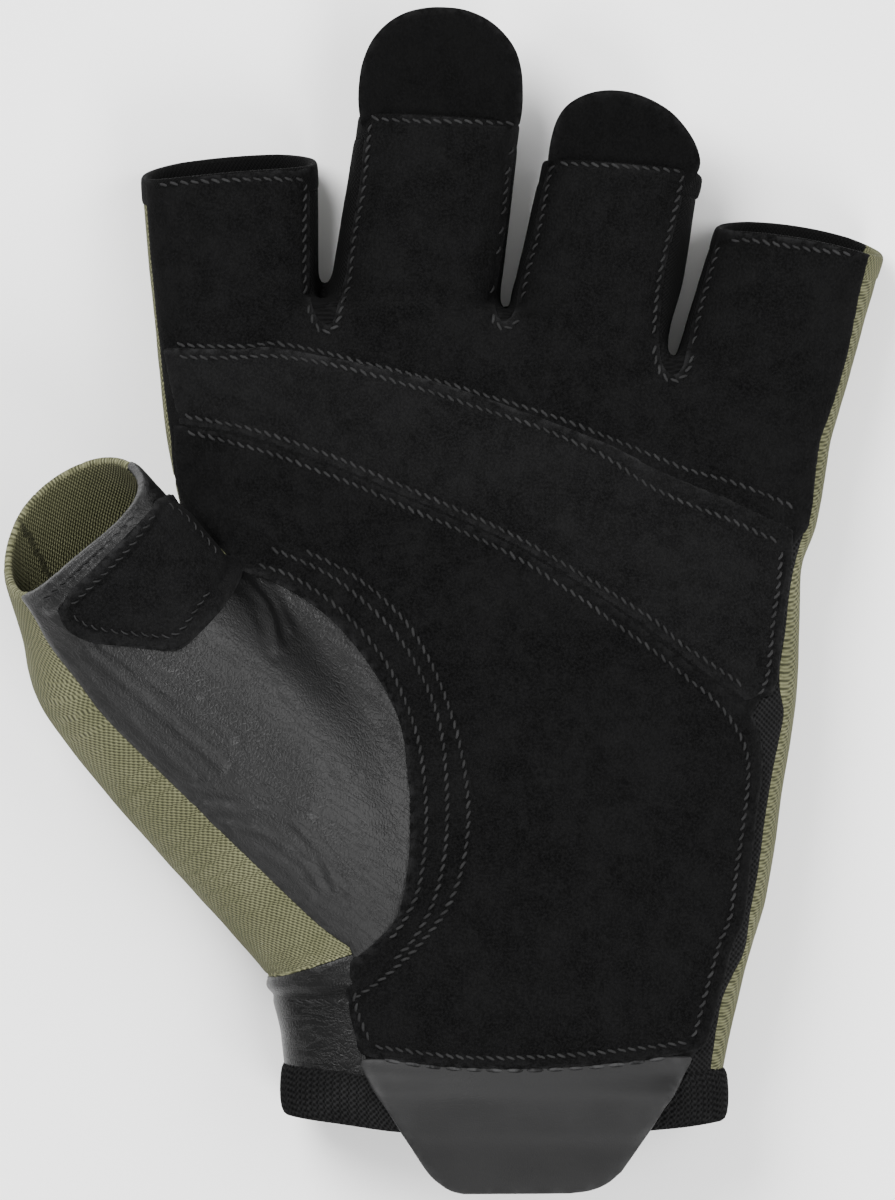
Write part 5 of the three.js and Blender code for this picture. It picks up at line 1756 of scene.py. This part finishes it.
def knit_finish(name, colour, dark, light, rib, course, depth, sheen):
    """A knit whose loops follow the cloth coordinate, darker between threads."""
    finish = Finish(name, colour, 0.9, sheen=sheen, specular=0.05)
    threads = finish.use(weave, Rib=rib, Course=course)
    fuzz = finish.use(nap, Fibre_size=0.25, Blotch_size=12.0)
    edge = finish.use(scuffing_and_highlight, Amount=1.0, Patch_size=0.8)
    finish.tint(fuzz["Blotches"], light, 0.35)
    # Paler edges: scuffing, and a painted highlight.
    finish.tint(edge["Wear"], tuple(1.2 * c for c in light), 0.6)
    finish.tint(math_node(finish.tree, "SUBTRACT", 1.0, threads["Threads"]), dark, 0.8)
    finish.rough(fuzz["Fibres"], 0.8, 0.98)
    finish.bump(threads["Height"], depth, 0.9)
    return finish.done()


OLIVE, DARK_OLIVE, PALE_OLIVE = (0.102, 0.104, 0.056), (0.011, 0.012, 0.006), (0.18, 0.18, 0.105)
olive_knit = knit_finish("olive_knit_finish", OLIVE, DARK_OLIVE, PALE_OLIVE, 0.62, 0.8, 0.26, 0.02)
black_knit = knit_finish("black_knit_finish", grey(0.0028), grey(0.0008), grey(0.005), 0.5, 0.7, 0.14, 0.0)
elastic = knit_finish("elastic_finish", grey(0.0075), grey(0.0007), grey(0.02), 0.9, 0.6, 0.25, 0.0)

def frayed_finish(name, dark, light, amount, roughness, specular, fibre, blotch, depth, strength):
    """Thread, or a pad's raw edge that is partly a painted highlight: one colour with fuzzy blotches of
    another.
    """
    finish = Finish(name, grey(dark), roughness, specular=specular)
    fuzz = finish.use(nap, Fibre_size=fibre, Blotch_size=blotch)
    finish.tint(fuzz["Blotches"], grey(light), amount)
    finish.bump(fuzz["Height"], depth, strength)
    return finish.done()


thread = frayed_finish("thread_finish", 0.0085, 0.018, 0.7, 0.75, 0.12, 0.5, 4.0, 0.05, 0.6)
# The pad's pale edge stands partly for the cut edge and partly for a painted highlight.
edge_leather_and_highlight = frayed_finish("raw_edge_and_highlight_finish", 0.03, 0.004, 0.9, 0.8, 0.1, 0.4, 1.6, 0.1, 0.8)

FINISH_OF = {
    edge_leather_and_highlight: ("black_suede", [raw_edge_and_highlight]),
    suede: ("black_suede", [palm_suede, heel_pad]),
    dusty_suede: ("black_suede", [knuckle_pad, thumb_patch]),
    tab_suede: ("black_suede", [middle_tab, ring_tab]),
    leather: ("grain_leather", [thumb_leather]),
    shaded_wrist_finish: ("grain_leather", [wrist_leather]),
    tab_leather: ("tab_leather", [heel_tab]),
    olive_knit: ("olive_knit", [back_knit, thumb_knit]),
    black_knit: ("black_knit", [*fourchettes, *hems.values()]),
    elastic: ("elastic", [cuff, gusset]),
    thread: ("black_suede", [finger_thread, palm_thread, thumb_thread, wrist_thread]),
}
for material, (slot, wearers) in FINISH_OF.items():
    for piece in wearers:
        piece.data.materials.append(material)

# The little finger's hem is black on the palm side only: the knit's own hem shows at its corner.
corner = hems["little"].data
corner.materials.append(olive_knit)
for polygon in corner.polygons:
    x, y, _ = polygon.center / MM
    if x - 0.3 * (y - 48.0) > 62.6:  # beyond the suede's slanting side
        polygon.material_index = 1

# %% [markdown]
# ## What each piece stands for
#
# Every CAD solid is soft, so each is hidden and one of the sewn pieces stands for it.

# %% Replace the CAD solids
STANDS_FOR = [
    (back_knit, "back_knit"), (thumb_knit, "thumb_knit"), (palm_suede, "palm_suede"),
    (knuckle_pad, "knuckle_pad"), (heel_pad, "heel_pad"), (thumb_patch, "thumb_patch"),
    (thumb_leather, "thumb_leather"), (wrist_leather, "wrist_leather"), (gusset, "side_gusset"),
    (cuff, "cuff_band"), (middle_tab, "middle_tab"), (ring_tab, "ring_tab"), (heel_tab, "heel_tab"),
]
STANDS_FOR += [(hem, f"{name}_binding") for name, hem in hems.items()]
STANDS_FOR += [(strip, f"fourchette_{i + 1}") for i, strip in enumerate(fourchettes)]
for piece, node in STANDS_FOR:
    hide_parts(node)
print("CAD solids replaced:", len(STANDS_FOR))

# %% Clear away the forms and cutters
for left in list(scene.objects):
    if left.type == "MESH" and left.name.split(".")[0] in ("cutter", "boolean", "fine_form", "plain_form"):
        discard(left)
for mark in SKIN_MARKS:
    bpy.data.materials.remove(mark)

# %% [markdown]
# ## Floor, light and camera
#
# The photograph was taken from straight above with a long lens, on white. A pale floor, one wide
# soft light above the fingers and two fill lights give its even look. The camera aims so that
# the middle of the picture falls on the same spot of the glove.

# %% Studio
FLOOR_HALF, FLOOR_DEPTH = 3.0, 0.0002
corners = [(a * FLOOR_HALF, b * FLOOR_HALF, -FLOOR_DEPTH) for a, b in ((-1, -1), (1, -1), (1, 1), (-1, 1))]
floor = mesh_object("studio_floor", corners, [(0, 1, 2, 3)])
paper = Finish("paper_floor", (0.95, 0.95, 0.95), 0.9, specular=0.1)
paper.tint(paper.use(nap, Fibre_size=2.0, Blotch_size=300.0)["Blotches"], (0.93, 0.93, 0.93), 0.5)
floor.data.materials.append(paper.done())


def soft_light(name, place, size, power):
    """A round light at a place, which shines at the glove."""
    data = bpy.data.lights.new(name, "AREA")
    data.shape, data.size, data.energy = "DISK", size, power
    light = placed(name, data)
    light.location = place
    light.rotation_euler = (-Vector(place)).to_track_quat("-Z", "Y").to_euler()


soft_light("key_light", (-0.5, 0.55, 0.9), 0.7, 26)
soft_light("fill_light", (0.8, 0.1, 0.8), 0.9, 11)
soft_light("low_light", (0.45, -0.75, 0.9), 0.6, 15)
world = bpy.data.worlds.new("studio")
world.use_nodes = True
world.node_tree.nodes["Background"].inputs["Color"].default_value = (1, 1, 1, 1)
world.node_tree.nodes["Background"].inputs["Strength"].default_value = 0.78
scene.world = world

# %% Camera
PICTURE_HEIGHT = 0.17796  # metres of the glove's middle plane that the picture shows
AIM = Vector((0.0016, -0.00056, 0.012))
DISTANCE, SENSOR = 2.2, 36.0
camera = placed("camera", bpy.data.cameras.new("camera"))
camera.data.sensor_width = SENSOR
camera.data.lens = SENSOR * DISTANCE / PICTURE_HEIGHT
camera.location = AIM + Vector((0, 0, DISTANCE))
camera.data.clip_end = 20.0
scene.camera = camera
print("lens:", round(camera.data.lens, 1), "mm")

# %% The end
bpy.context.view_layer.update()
